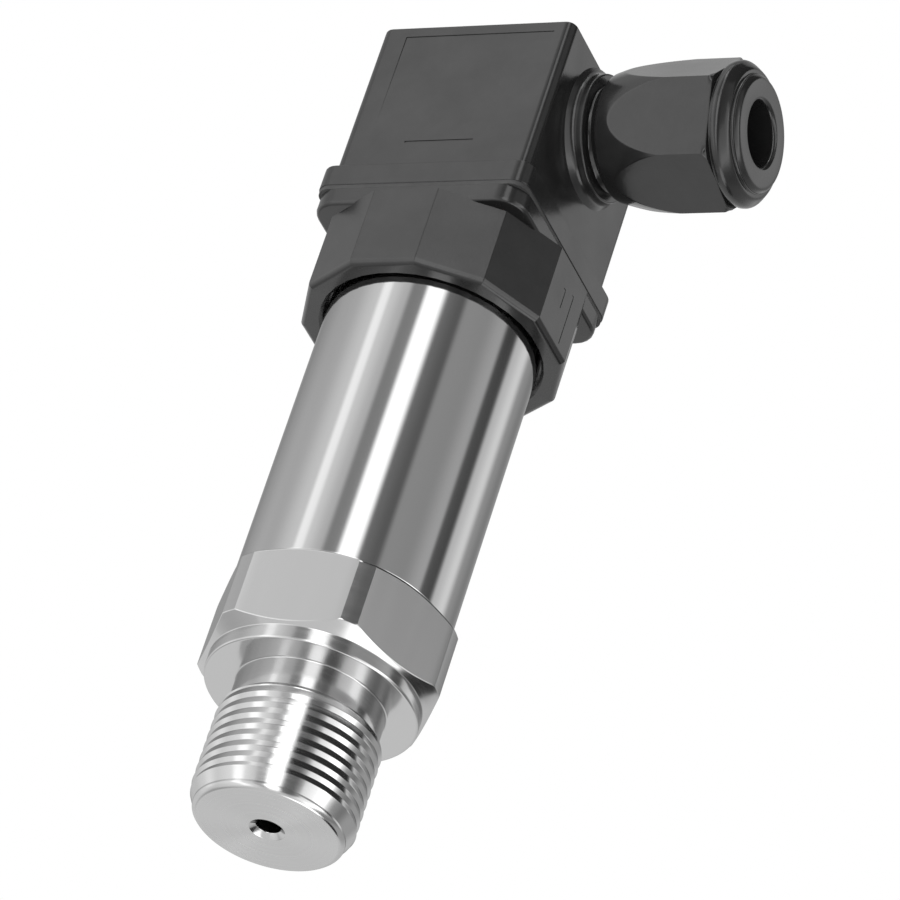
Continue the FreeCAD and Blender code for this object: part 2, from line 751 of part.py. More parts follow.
# Plug housing: square foot, box, screw well in the roof, and the cable neck on +X.
plug = new_body("plug_housing")
block(plug, "foot", "flange_half", "flange_half", "plug_low", "foot_top")
round_edges(plug, "foot_corners", "foot_corner", is_upright)
round_edges(plug, "foot_upper_rim", "foot_rim", lambda edge: level_at(edge, value("foot_top")))
block(plug, "box", "box_half_x", "box_half_y", "plug_low", "box_top")
round_edges(plug, "box_corners", "box_corner", lambda edge: ends_at(edge, value("box_top")))
round_edges(plug, "box_upper_rim", "box_rim", lambda edge: level_at(edge, value("box_top")))
block(plug, "cavity", "cavity_half_x", "cavity_half_y", "plug_low", "roof_low", cut=True)
drum(plug, "screw_column", "well_radius + well_wall", "column_low", "roof_low + fit")
turn_in(plug, "screw_well", [
    ("0", "seat_height"),
    ("well_radius", "seat_height"),
    ("well_radius", "box_top - well_bevel"),
    ("well_radius + well_bevel", "box_top"),
    ("0", "box_top"),
], kind="PartDesign::Groove")
drum(plug, "screw_hole_cut", "screw_hole", "column_low - fit", "seat_height + fit", cut=True)
# Shallow tapering panels and a narrow pry slot in the front and back faces.
for name, side in (("front", "-1"), ("back", "1")):
    face = f"{side} * box_half_y"
    panel_top = "box_top - panel_margin"
    panel_sketch = outline(plug, "panel_outline_" + name, [
        (face, panel_top),
        (f"{side} * (box_half_y - panel_depth)", panel_top),
        (face, f"{panel_top} - panel_height"),
    ], plane="YZ_Plane")
    panel_sketch.setExpression("AttachmentOffset.Base.z", bound("panel_shift - panel_width / 2"))
    panel = plug.newObject("PartDesign::Pocket", "panel_" + name)
    panel.Profile = panel_sketch
    panel.Reversed = True
    tie(panel, Length="panel_width")
    block(plug, "pry_slot_" + name, "pry_slot_width / 2", "pry_slot_depth", "plug_low + pry_slot_rise",
          "plug_low + pry_slot_rise + pry_slot_height", cut=True, y=face)
drum_sideways(plug, "neck_boss", "boss_radius", "box_half_x - box_wall / 2", "boss_face")
drum_sideways(plug, "neck", "neck_radius", "box_half_x - box_wall / 2", "neck_end")
drum_sideways(plug, "cable_way", "cable_radius + clamp_hole_gap", "cavity_half_x - play", "neck_end + play", cut=True)
drum_sideways(plug, "grommet_bore", "neck_bore", "grommet_floor", "neck_end + play", cut=True)

# Contact carrier in the plug, with a tower round the fixing screw.
carrier = new_body("terminal_insert")
block(carrier, "carrier_block", "carrier_half_x", "carrier_half_y", "plug_low", "carrier_top")
drum(carrier, "screw_tower", "tower_radius", "carrier_top", "carrier_top + tower_height")
drum(carrier, "screw_way", "screw_hole", "plug_low", "carrier_top + tower_height", cut=True)
for name, side_x, side_y in BLADE_SPOTS:
    half_x, half_y = across(side_x, "blade_width / 2 + play", "blade_thickness / 2 + clip_wall + 2 * fit")
    block(carrier, "contact_chamber_" + name, half_x, half_y, "plug_low", "chamber_top", cut=True,
          x=f"{side_x} * blade_offset", y=f"{side_y} * blade_offset")
    drum(carrier, "terminal_hole_" + name, "terminal_shank_radius + 2 * fit", "chamber_top - fit",
         "carrier_top + fit", cut=True, x=f"{side_x} * blade_offset", y=f"{side_y} * blade_offset")

# Spring clips folded over each blade, and the slotted terminal screws above them.
clips = plain_solid("socket_contacts")
screws = plain_solid("terminal_screws")
clip_solids = []
screw_solids = []
clip_low = value("plug_low + blade_gap")
clip_high = value("chamber_top")
head_low = value("carrier_top")
for name, side_x, side_y in BLADE_SPOTS:
    middle = FreeCAD.Vector(side_x * value("blade_offset"), side_y * value("blade_offset"), 0)
    half_x, half_y = across(side_x, value("blade_width / 2"), value("blade_thickness / 2 + fit + clip_wall"))
    corner = middle + FreeCAD.Vector(-half_x, -half_y, clip_low)
    outer = Part.makeBox(2 * half_x, 2 * half_y, clip_high - clip_low, corner)
    half_x, half_y = across(side_x, value("blade_width"), value("blade_thickness / 2 + fit"))
    corner = middle + FreeCAD.Vector(-half_x, -half_y, clip_low)
    inner = Part.makeBox(2 * half_x, 2 * half_y, clip_high - clip_low - value("clip_wall"), corner)
    clip_solids.append(outer.cut(inner))
    head_radius = value("terminal_screw_radius")
    head_rise = value("terminal_screw_head")
    shank = Part.makeCylinder(value("terminal_shank_radius"), head_low - clip_high,
                              middle + FreeCAD.Vector(0, 0, clip_high))
    head = Part.makeCylinder(head_radius, head_rise, middle + FreeCAD.Vector(0, 0, head_low))
    slot = Part.makeBox(2 * head_radius, head_radius / 4, head_rise / 2,
                        middle + FreeCAD.Vector(-head_radius, -head_radius / 8, head_low + head_rise / 2))
    screw_solids.append(head.cut(slot).fuse(shank).removeSplitter())
clips.Shape = Part.makeCompound(clip_solids)
screws.Shape = Part.makeCompound(screw_solids)

# Cheese-head screw through plug and gasket into the brass bush, with its sealing washer.
fixing = turned("fixing_screw", [
    ("0", "brass_low + play"),
    ("screw_radius - screw_bevel", "brass_low + play"),
    ("screw_radius", "brass_low + play + screw_bevel"),
    ("screw_radius", "screw_seat"),
    ("screw_head_radius", "screw_seat"),
    ("screw_head_radius", "screw_top - screw_bevel"),
    ("screw_head_radius - screw_bevel", "screw_top"),
    ("0", "screw_top"),
])
block(fixing, "driver_slot", "screw_head_radius + play", "driver_slot_width / 2",
      "screw_top - driver_slot_depth", "screw_top + play", cut=True)
turned("screw_washer", [
    ("screw_radius + fit", "seat_height"),
    ("screw_head_radius + screw_washer_margin", "seat_height"),
    ("screw_head_radius + screw_washer_margin", "screw_seat - fit"),
    ("screw_radius + fit", "screw_seat - fit"),
])

# Rubber sleeve in the neck, and the ring that the nut presses on it.
turned("cable_grommet", [
    ("cable_radius - grommet_grip", "grommet_floor"),
    ("neck_bore - fit", "grommet_floor"),
    ("neck_bore - fit", "grommet_end"),
    ("cable_radius - grommet_grip", "grommet_end"),
], rotation=SIDEWAYS)
turned("clamp_washer", [
    ("cable_radius + clamp_hole_gap", "clamp_low"),
    ("clamp_radius", "clamp_low"),
    ("clamp_radius", "clamp_high"),
    ("cable_radius + clamp_hole_gap", "clamp_high"),
], rotation=SIDEWAYS)

# Gland nut: domed skirt growing into a hexagon, then groove, bead and rounded nose.
nut = turned("gland_nut", [
    ("nut_bore + play", "nut_mouth"),
    ("nut_bore + nut_mouth_wall", "nut_mouth", "nut_mouth_rim"),
    ("nut_bore + nut_mouth_wall + nut_mouth_rim / 2", "nut_mouth + nut_mouth_rim", "5 * nut_skirt"),
    ("nut_corner", "nut_skirt_end"),
    ("nut_corner", "nut_hex_end"),
    ("nut_corner - nut_hex_bevel", "nut_hex_end + nut_hex_bevel"),
    ("nut_groove_radius", "nut_hex_end + nut_hex_bevel"),
    ("nut_groove_radius", "nut_bead_low"),
    ("nut_groove_radius + play", "nut_bead_low"),
    ("nut_groove_radius + play / 2", "nut_bead_low + nut_bead_height", "2 * nut_bead_height + play"),
    ("nut_nose_radius", "nut_end"),
    ("cable_radius + play", "nut_end"),
    ("cable_radius", "nut_end - play"),
    ("cable_radius", "nut_floor"),
    ("nut_bore", "nut_floor"),
    ("nut_bore", "nut_mouth + play"),
], rotation=SIDEWAYS)
mill_hexagon(nut, "nut_flats_cut", "nut_corner", "nut_turn", "nut_mouth", "nut_hex_end + nut_hex_bevel",
             "nut_corner")

doc.recompute()
for item in doc.Objects:
    if "Invalid" in item.State or "Error" in item.State:
        raise RuntimeError(f"{item.Label} failed: {item.State}")

os.makedirs("parts", exist_ok=True)
for item in PARTS:
    shape = item.Shape
    if shape.isNull() or not shape.isValid():
        raise RuntimeError(f"{item.Label} has no valid shape")
    shape.exportStep(f"parts/{item.Label}.step")
    print(item.Label, len(shape.Solids), round(shape.Volume, 2))
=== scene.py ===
import math
import bmesh
import bpy
from mathutils import Matrix, Vector


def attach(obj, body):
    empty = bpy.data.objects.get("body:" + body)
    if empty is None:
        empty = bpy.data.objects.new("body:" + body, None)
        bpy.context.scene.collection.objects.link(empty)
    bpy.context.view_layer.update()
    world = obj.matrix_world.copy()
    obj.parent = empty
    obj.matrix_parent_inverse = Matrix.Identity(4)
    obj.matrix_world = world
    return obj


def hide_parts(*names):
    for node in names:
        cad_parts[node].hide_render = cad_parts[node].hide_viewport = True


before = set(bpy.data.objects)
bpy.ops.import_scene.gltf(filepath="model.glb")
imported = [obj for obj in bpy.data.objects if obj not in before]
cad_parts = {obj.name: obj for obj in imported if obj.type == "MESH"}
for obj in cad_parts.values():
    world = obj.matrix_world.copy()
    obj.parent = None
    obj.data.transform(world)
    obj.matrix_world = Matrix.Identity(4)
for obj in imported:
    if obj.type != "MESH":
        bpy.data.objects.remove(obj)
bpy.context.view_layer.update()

# Camera: a long lens below and to the right of the part, rolled so that the part
# leans across the frame. The target is a point on the body axis.
MM = 0.001
AXIS_TARGET = Vector((0.0, 0.0, 55.0)) * MM
CAMERA_TURN = math.radians(32.99)
CAMERA_RISE = math.radians(-32.507)
CAMERA_DISTANCE = 718.83 * MM
CAMERA_PAN = math.radians(0.4916)
CAMERA_TILT = math.radians(0.1317)
CAMERA_ROLL = math.radians(18.706)
FOCAL_PIXELS = 6015.0
FRAME_PIXELS = 900
SENSOR_WIDTH = 36.0
NEAREST_SEEN = 10.0 * MM

backward = Vector((
    math.sin(CAMERA_TURN) * math.cos(CAMERA_RISE),
    -math.cos(CAMERA_TURN) * math.cos(CAMERA_RISE),
    math.sin(CAMERA_RISE),
))
right = (-backward).cross(Vector((0, 0, 1))).normalized()
up = right.cross(-backward)
forward = -backward
forward, right = (forward * math.cos(CAMERA_PAN) + right * math.sin(CAMERA_PAN),
                  right * math.cos(CAMERA_PAN) - forward * math.sin(CAMERA_PAN))
forward, up = (forward * math.cos(CAMERA_TILT) + up * math.sin(CAMERA_TILT),
               up * math.cos(CAMERA_TILT) - forward * math.sin(CAMERA_TILT))
right, up = (right * math.cos(CAMERA_ROLL) + up * math.sin(CAMERA_ROLL),
             up * math.cos(CAMERA_ROLL) - right * math.sin(CAMERA_ROLL))
lens = bpy.data.cameras.new("camera")
lens.sensor_width = SENSOR_WIDTH
lens.lens = FOCAL_PIXELS * SENSOR_WIDTH / FRAME_PIXELS
lens.clip_start = NEAREST_SEEN
camera = bpy.data.objects.new("camera", lens)
camera.matrix_world = Matrix.Translation(AXIS_TARGET + backward * CAMERA_DISTANCE) @ Matrix((
    (right.x, up.x, -forward.x, 0),
    (right.y, up.y, -forward.y, 0),
    (right.z, up.z, -forward.z, 0),
    (0, 0, 0, 1),
))
bpy.context.collection.objects.link(camera)
bpy.context.scene.camera = camera
bpy.context.scene.view_settings.view_transform = "Standard"

# Floor: a pale board just under the threaded end. Only its upper side shows, so
# that the camera, which stands lower than the part, looks past it.
FLOOR_GAP = 0.2 * MM
FLOOR_HALF = 1500.0 * MM
FLOOR_TONE = 0.93
floor_mesh = bpy.data.meshes.new("floor")
floor_mesh.from_pydata([(x * FLOOR_HALF, y * FLOOR_HALF, -FLOOR_GAP)
                        for x, y in ((-1, -1), (1, -1), (1, 1), (-1, 1))], [], [(0, 1, 2, 3)])
floor = bpy.data.objects.new("floor", floor_mesh)
bpy.context.collection.objects.link(floor)
floor_paint = bpy.data.materials.new("pale_floor")
floor_paint.use_nodes = True
nodes, links = floor_paint.node_tree.nodes, floor_paint.node_tree.links
nodes["Principled BSDF"].inputs["Base Color"].default_value = (FLOOR_TONE, FLOOR_TONE, FLOOR_TONE, 1)
nodes["Principled BSDF"].inputs["Roughness"].default_value = 0.8
nodes["Principled BSDF"].inputs["Specular IOR Level"].default_value = 0.1
see_through = nodes.new("ShaderNodeBsdfTransparent")
upper_or_lower = nodes.new("ShaderNodeMixShader")
which_side = nodes.new("ShaderNodeNewGeometry")
links.new(which_side.outputs["Backfacing"], upper_or_lower.inputs["Fac"])
links.new(nodes["Principled BSDF"].outputs["BSDF"], upper_or_lower.inputs[1])
links.new(see_through.outputs["BSDF"], upper_or_lower.inputs[2])
links.new(upper_or_lower.outputs["Shader"], nodes["Material Output"].inputs["Surface"])
floor_mesh.materials.append(floor_paint)
floor.visible_diffuse = False
floor.visible_glossy = False
floor.visible_transmission = False
floor.visible_shadow = False

# Studio: a white room with upright strip lights and dark flags round the part, seen by
# polished steel as bands. Each stop is a bearing, from the front towards the cable side,
# and the room's brightness there; the second table is for what lies lower down.
ROOM = (
    (-180, 0.36), (-160, 0.44), (-137, 0.44), (-105, 0.38), (-70, 0.63), (-40, 0.90),
    (-35, 1.45), (-29, 1.40), (-25, 0.95), (-9, 0.70), (-3, 0.32), (8, 0.34),
    (13, 1.90), (27, 1.90), (34, 0.22), (50, 0.15), (57, 0.40), (80, 0.38), (104, 0.56),
    (109, 0.13), (121, 0.10), (129, 0.78), (146, 1.05), (160, 0.46), (180, 0.36),
)
LOW_ROOM = (
    (-180, 0.80), (-137, 0.90), (-121, 0.55), (-105, 0.50), (-89, 0.62), (-73, 0.90), (-41, 1.15),
    (-35, 1.80), (-27, 1.80), (-20, 1.15), (-9, 1.00), (-2, 0.62), (7, 0.62), (12, 2.50), (27, 2.60),
    (36, 0.20), (50, 0.18), (58, 0.45), (64, 1.30), (80, 1.60), (88, 2.40), (98, 2.40), (104, 1.00),
    (112, 0.42), (127, 0.28), (143, 0.50), (160, 0.50), (180, 0.80),
)
ROOM_TOP = 3.0
LOW_ROOM_FADE = (0.42, 0.30)
# Between these slopes the low bands fade into a plain pale underside.
UNDERSIDE_FADE = (-0.95, -0.75)
UNDERSIDE = 0.85
# Sheets of light, and three black boards with a brightness below 0. Each has its
# middle, the cosines between which it fades in, and its brightness.
SHEETS = (
    ((0.22, 0.28, -0.935), (0.945, 0.975), 1.6),
    ((0.24, 0.66, -0.71), (0.965, 0.985), -1.5),
    ((-0.985, 0.174, 0.0), (0.75, 0.95), 0.4),
    ((0.48, 0.20, 0.85), (0.905, 0.945), -1.5),
    ((0.36, -0.28, 0.89), (0.955, 0.98), -1.5),
    ((0.11, -0.46, 0.88), (0.984, 0.994), 1.6),
    ((-0.458, 0.321, 0.829), (0.955, 0.985), 0.25),
)
# The darkest that steel sees, and the room's light on what isn't polished.
DARKEST = 0.04
DIFFUSE_ROOM = 0.42
world = bpy.data.worlds.new("studio")
bpy.context.scene.world = world
world.use_nodes = True
nodes, links = world.node_tree.nodes, world.node_tree.links


def figure(tree, operation, *terms):
    """A maths node of a tree with its terms set or linked; returns its output."""
    node = tree.nodes.new("ShaderNodeMath")
    node.operation = operation
    for socket, term in zip(node.inputs, terms):
        if isinstance(term, (int, float)):
            socket.default_value = term
        else:
            tree.links.new(term, socket)
    return node.outputs[0]


def faded(tree, source, start, finish):
    """0 at start, 1 at finish, smooth between."""
    node = tree.nodes.new("ShaderNodeMapRange")
    node.interpolation_type = "SMOOTHSTEP"
    tree.links.new(source, node.inputs["Value"])
    node.inputs["From Min"].default_value = start
    node.inputs["From Max"].default_value = finish
    return node.outputs["Result"]


room = world.node_tree
bearing = nodes.new("ShaderNodeTexCoord")
split = nodes.new("ShaderNodeSeparateXYZ")
links.new(bearing.outputs["Generated"], split.inputs["Vector"])
turn = figure(room, "ARCTAN2", split.outputs["X"], figure(room, "MULTIPLY", split.outputs["Y"], -1.0))
turn = figure(room, "ADD", figure(room, "DIVIDE", turn, 2 * math.pi), 0.5)


def banded(table):
    """The brightness of a table's bands at the bearing of the view."""
    ramp = nodes.new("ShaderNodeValToRGB")
    ramp.color_ramp.interpolation = "EASE"
    stops = ramp.color_ramp.elements
    for number, (degrees, brightness) in enumerate(table):
        place = (degrees + 180) / 360
        stop = stops[number] if number < 2 else stops.new(place)
        stop.position = place
        level = brightness / ROOM_TOP
        stop.color = (level, level, level, 1)
    links.new(turn, ramp.inputs["Fac"])
    return figure(room, "MULTIPLY", ramp.outputs["Color"], ROOM_TOP)


def blended(source, low, high):
    """Low where the source is 0, high where it is 1."""
    return figure(room, "MULTIPLY_ADD", figure(room, "SUBTRACT", high, low), source, low)


above_underside = faded(room, split.outputs["Z"], *UNDERSIDE_FADE)
low_bands = blended(above_underside, UNDERSIDE, banded(LOW_ROOM))
low_down = faded(room, split.outputs["Z"], *LOW_ROOM_FADE)
seen_in_steel = blended(low_down, banded(ROOM), low_bands)
for middle, cosines, brightness in SHEETS:
    towards = nodes.new("ShaderNodeVectorMath")
    towards.operation = "DOT_PRODUCT"
    towards.inputs[1].default_value = Vector(middle).normalized()
    links.new(bearing.outputs["Generated"], towards.inputs[0])
    lit = faded(room, towards.outputs["Value"], *cosines)
    seen_in_steel = figure(room, "MULTIPLY_ADD", lit, brightness, seen_in_steel)
seen_in_steel = figure(room, "MAXIMUM", seen_in_steel, DARKEST)
path = nodes.new("ShaderNodeLightPath")
# The camera, also through glass, sees plain white.
shown = figure(room, "MAXIMUM", path.outputs["Is Camera Ray"], path.outputs["Is Transmission Ray"])
glossy = path.outputs["Is Glossy Ray"]
strength = figure(room, "MULTIPLY", seen_in_steel, glossy)
strength = figure(room, "ADD", strength, shown)
neither = figure(room, "SUBTRACT", 1.0, figure(room, "MAXIMUM", shown, glossy))
strength = figure(room, "MULTIPLY_ADD", neither, DIFFUSE_ROOM, strength)
nodes["Background"].inputs["Color"].default_value = (1, 1, 1, 1)
links.new(strength, nodes["Background"].inputs["Strength"])

# Softboxes: bearing, height angle, distance, side and power. Their own reflections
# are left to the room's bands.
for word, degrees, rise, distance, side, power in (
    ("key_softbox", -38, 18, 0.9, 0.5, 5.2),
    ("fill_softbox", 25, -40, 0.9, 0.6, 1.2),
):
    lamp = bpy.data.lights.new(word, "AREA")
    lamp.shape = "SQUARE"
    lamp.size = side
    lamp.energy = power
    softbox = bpy.data.objects.new(word, lamp)
    aim = Vector((math.sin(math.radians(degrees)) * math.cos(math.radians(rise)),
                  -math.cos(math.radians(degrees)) * math.cos(math.radians(rise)),
                  math.sin(math.radians(rise))))
    softbox.matrix_world = (Matrix.Translation(AXIS_TARGET + aim * distance)
                            @ aim.to_track_quat("Z", "Y").to_matrix().to_4x4())
    softbox.visible_glossy = False
    bpy.context.collection.objects.link(softbox)

# Process connection: stainless steel, turned in one piece from 27 mm hexagon bar, with
# a cut M20 x 1.5 thread, washer collar, sensor pocket and the spigot for the tube.
# Sizes are in millimetres, radii for round parts, and heights from the end face.
ROUND_STEPS = 180
THREAD_PITCH = 1.5
THREAD_CREST = 10.0
THREAD_ROOT = 9.73
THREAD_TURN = -3.0
THREAD_UPPER_FLANK = 0.62
THREAD_END = 14.3
THREAD_ROWS = 264
# How much of the thread's depth the rounding of crest and root takes.
CREST_ROUND = 0.04
ROOT_ROUND = 0.08
ENTRY_HEIGHT = 1.55
PILOT = 9.17
PILOT_HEIGHT = 0.9
PILOT_BEVEL = 0.5
NECK_RADIUS = 9.1
FACE_CENTRE = 2.2
PORT = 1.5
PORT_BEVEL = 0.55
COLLAR_SEAT = 17.9
COLLAR_STEP = 0.2
COLLAR_RADIUS = 13.0
COLLAR_TOP = 19.75
HEX_APOTHEM = 13.5
HEX_CORNER = 15.0
HEX_TURN = 7.7
HEX_CORNER_LOW = 20.905
HEX_CORNER_HIGH = 29.205
HEX_CHAMFER = math.tan(math.radians(30))
# The flats' finish may go this far past the corners' ends, where the chamfer curves up.
HEX_FLAT_MARGIN = 1.2
TUBE_SEAT = 30.187
TUBE_RADIUS = 13.3
SPIGOT = 12.25
SPIGOT_TOP = 37.987
RETAINER_BORE = 10.45
SENSOR_TOP = 33.487
POCKET = 9.55
POCKET_FLOOR = 21.487
CHAMBER = 7.8
CHAMBER_FLOOR = 20.687
STEEL_EDGE_TINT = 0.75


def new_finish(name, tone, roughness, metallic=0.0, specular=0.5):
    """A Principled material of one grey tone or colour, to be given its grain."""
    material = bpy.data.materials.new(name)
    material.use_nodes = True
    shader = material.node_tree.nodes["Principled BSDF"]
    colour = tone if isinstance(tone, tuple) else (tone, tone, tone)
    shader.inputs["Base Color"].default_value = (*colour, 1)
    shader.inputs["Roughness"].default_value = roughness
    shader.inputs["Metallic"].default_value = metallic
    shader.inputs["Specular IOR Level"].default_value = specular
    if metallic:
        shader.inputs["Specular Tint"].default_value = (STEEL_EDGE_TINT, STEEL_EDGE_TINT, STEEL_EDGE_TINT, 1)
    return material


def grain(material, stretch, detail=2.0):
    """Noise on Object coordinates; stretch is its number of waves per metre along x, y and z."""
    tree = material.node_tree
    place = tree.nodes.new("ShaderNodeTexCoord")
    mapping = tree.nodes.new("ShaderNodeMapping")
    mapping.inputs["Scale"].default_value = stretch
    noise = tree.nodes.new("ShaderNodeTexNoise")
    noise.inputs["Scale"].default_value = 1.0
    noise.inputs["Detail"].default_value = detail
    tree.links.new(place.outputs["Object"], mapping.inputs["Vector"])
    tree.links.new(mapping.outputs["Vector"], noise.inputs["Vector"])
    return noise.outputs["Fac"]


def ringed_grain(material, waves):
    """Noise that changes only with the distance from the body axis."""
    tree = material.node_tree
    place = tree.nodes.new("ShaderNodeTexCoord")
    flatten = tree.nodes.new("ShaderNodeVectorMath")
    flatten.operation = "MULTIPLY"
    flatten.inputs[1].default_value = (1, 1, 0)
    tree.links.new(place.outputs["Object"], flatten.inputs[0])
    reach = tree.nodes.new("ShaderNodeVectorMath")
    reach.operation = "LENGTH"
    tree.links.new(flatten.outputs["Vector"], reach.inputs[0])
    noise = tree.nodes.new("ShaderNodeTexNoise")
    noise.noise_dimensions = "1D"
    noise.inputs["Scale"].default_value = waves
    noise.inputs["Detail"].default_value = 2.0
    tree.links.new(reach.outputs["Value"], noise.inputs["W"])
    return noise.outputs["Fac"]


# Most of a grain lies between these.
GRAIN_LOW, GRAIN_HIGH = 0.3, 0.7


def spread(material, source, socket, low, high):
    """Let a grain move one of the shader's numbers between low and high."""
    tree = material.node_tree
    node = tree.nodes.new("ShaderNodeMapRange")
    node.inputs["From Min"].default_value = GRAIN_LOW
    node.inputs["From Max"].default_value = GRAIN_HIGH
    node.inputs["To Min"].default_value = low
    node.inputs["To Max"].default_value = high
    tree.links.new(source, node.inputs["Value"])
    tree.links.new(node.outputs["Result"], tree.nodes["Principled BSDF"].inputs[socket])


def two_tone(material, source, low, high):
    """Let a grain move the colour between two colours."""
    tree = material.node_tree
    node = tree.nodes.new("ShaderNodeValToRGB")
    for stop, place, colour in zip(node.color_ramp.elements, (GRAIN_LOW, GRAIN_HIGH), (low, high)):
        stop.position = place
        stop.color = (*colour, 1)
    tree.links.new(source, node.inputs["Fac"])
    tree.links.new(node.outputs["Color"], tree.nodes["Principled BSDF"].inputs["Base Color"])


def relief(material, source, millimetres):
    """Raise the surface by a grain."""
    tree = material.node_tree
    node = tree.nodes.new("ShaderNodeBump")
    node.inputs["Strength"].default_value = 1.0
    node.inputs["Distance"].default_value = millimetres * MM
    tree.links.new(source, node.inputs["Height"])
    tree.links.new(node.outputs["Normal"], tree.nodes["Principled BSDF"].inputs["Normal"])


def eased(outline, steps=5, longest=0.45):
    """An outline of (out, along, ease) with each corner rounded off over its ease, which
    takes no more than the longest share of a side."""
    points = []
    for number, (out, along, ease) in enumerate(outline):
        here = Vector((out, along))
        if not ease or number in (0, len(outline) - 1):
            points.append(here)
            continue
        before = Vector(outline[number - 1][:2]) - here
        after = Vector(outline[number + 1][:2]) - here
        start = here + before.normalized() * min(ease, longest * before.length)
        finish = here + after.normalized() * min(ease, longest * after.length)
        for step in range(steps + 1):
            t = step / steps
            points.append(start * (1 - t) ** 2 + here * 2 * t * (1 - t) + finish * t ** 2)
    return points


def upright(out, along, degrees):
    """A point of a piece turned about the body axis."""
    angle = math.radians(degrees)
    return (out * math.cos(angle), out * math.sin(angle), along)


def skin(rings, loop=False, cap=False):
    """Faces over rings of equal count, as a bmesh in metres."""
    shell = bmesh.new()
    rows = [[shell.verts.new(Vector(point) * MM) for point in ring] for ring in rings]
    pairs = list(zip(rows, rows[1:]))
    if loop:
        pairs.append((rows[-1], rows[0]))
    for low, high in pairs:
        for number in range(len(low)):
            after = (number + 1) % len(low)
            shell.faces.new((low[number], low[after], high[after], high[number]))
    if cap:
        shell.faces.new(rows[0])
        shell.faces.new(rows[-1])
    return shell


def turned(profile, place=upright, steps=ROUND_STEPS, start=0.0, loop=True):
    """Turn a profile about an axis; profile gives the outline for each angle from the start."""
    columns = []
    for number in range(steps):
        degrees = 360 * number / steps
        columns.append([place(out, along, start + degrees) for out, along in profile(degrees)])
    rings = [list(ring) for ring in zip(*columns)]
    return skin(rings, loop=loop)


# In metres: points closer than the first become one, and edges under the second go.
SAME_POINT = 2e-6
SHORTEST_EDGE = 1e-7


def finished(name, shells, materials, body, cad_node, pick=None, sharp=35):
    """Join shells into one closed piece, and let it stand for its CAD node."""
    whole = bmesh.new()
    for shell in shells:
        part = bpy.data.meshes.new("part")
        shell.to_mesh(part)
        whole.from_mesh(part)
        bpy.data.meshes.remove(part)
        shell.free()
    bmesh.ops.remove_doubles(whole, verts=whole.verts, dist=SAME_POINT)
    bmesh.ops.dissolve_degenerate(whole, edges=whole.edges, dist=SHORTEST_EDGE)
    bmesh.ops.recalc_face_normals(whole, faces=whole.faces)
    for face in whole.faces:
        face.smooth = True
        if pick:
            face.material_index = pick(face)
    mesh = bpy.data.meshes.new(name)
    whole.to_mesh(mesh)
    whole.free()
    for material in materials:
        mesh.materials.append(material)
    mesh.set_sharp_from_angle(angle=math.radians(sharp))
    thing = bpy.data.objects.new(name, mesh)
    bpy.context.collection.objects.link(thing)
    weights = thing.modifiers.new("flat_faces_stay_flat", "WEIGHTED_NORMAL")
    weights.keep_sharp = True
    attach(thing, body)
    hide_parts(cad_node)
    return thing


# The thread as a Geometry Nodes sheet wound round its axis. Its rows follow the helix,
# and both ends are cut back by the entry bevel and the run-out. Over a pitch the thread
# falls from crest to root along the upper flank's share and rises along the rest.
thread_tree = bpy.data.node_groups.new("cut_thread", "GeometryNodeTree")
for kind, words in (
    ("Float", ("Pitch", "Root", "Crest", "Length", "Upper flank", "Entry radius", "Entry slope",
               "Exit radius")),
    ("Int", ("Columns", "Rows")),
    ("Material", ("Finish",)),
):
    for word in words:
        thread_tree.interface.new_socket(word, in_out="INPUT", socket_type="NodeSocket" + kind)
thread_tree.interface.new_socket("Mesh", in_out="OUTPUT", socket_type="NodeSocketGeometry")
given = thread_tree.nodes.new("NodeGroupInput").outputs
sheet = thread_tree.nodes.new("GeometryNodeMeshGrid")
sheet.inputs["Size X"].default_value = 1.0
sheet.inputs["Size Y"].default_value = 1.0
thread_tree.links.new(given["Columns"], sheet.inputs["Vertices X"])
thread_tree.links.new(given["Rows"], sheet.inputs["Vertices Y"])
spot = thread_tree.nodes.new("ShaderNodeSeparateXYZ")
thread_tree.links.new(thread_tree.nodes.new("GeometryNodeInputPosition").outputs[0], spot.inputs[0])
round_part = figure(thread_tree, "ADD", spot.outputs["X"], 0.5)
row_part = figure(thread_tree, "ADD", spot.outputs["Y"], 0.5)
span = figure(thread_tree, "ADD", given["Length"], given["Pitch"])
row = figure(thread_tree, "SUBTRACT", figure(thread_tree, "MULTIPLY", row_part, span), given["Pitch"])
along = figure(thread_tree, "MULTIPLY_ADD", round_part, given["Pitch"], row)
along = figure(thread_tree, "MINIMUM", figure(thread_tree, "MAXIMUM", along, 0.0), given["Length"])
part_turn = figure(thread_tree, "FRACT", figure(thread_tree, "DIVIDE", row, given["Pitch"]))
falling = figure(thread_tree, "DIVIDE", part_turn, given["Upper flank"])
rising = figure(thread_tree, "DIVIDE", figure(thread_tree, "SUBTRACT", 1.0, part_turn),
                figure(thread_tree, "SUBTRACT", 1.0, given["Upper flank"]))
sunk = figure(thread_tree, "SMOOTH_MIN", falling, rising, ROOT_ROUND)
sunk = figure(thread_tree, "SMOOTH_MAX", sunk, 0.0, CREST_ROUND)
depth = figure(thread_tree, "SUBTRACT", given["Root"], given["Crest"])
out = figure(thread_tree, "MULTIPLY_ADD", sunk, depth, given["Crest"])
entry = figure(thread_tree, "MULTIPLY_ADD", along, given["Entry slope"], given["Entry radius"])
out = figure(thread_tree, "MINIMUM", out, entry)
to_end = figure(thread_tree, "SUBTRACT", given["Length"], along)
out = figure(thread_tree, "MINIMUM", out, figure(thread_tree, "ADD", given["Exit radius"], to_end))
angle = figure(thread_tree, "MULTIPLY", round_part, 2 * math.pi)
wound = thread_tree.nodes.new("ShaderNodeCombineXYZ")
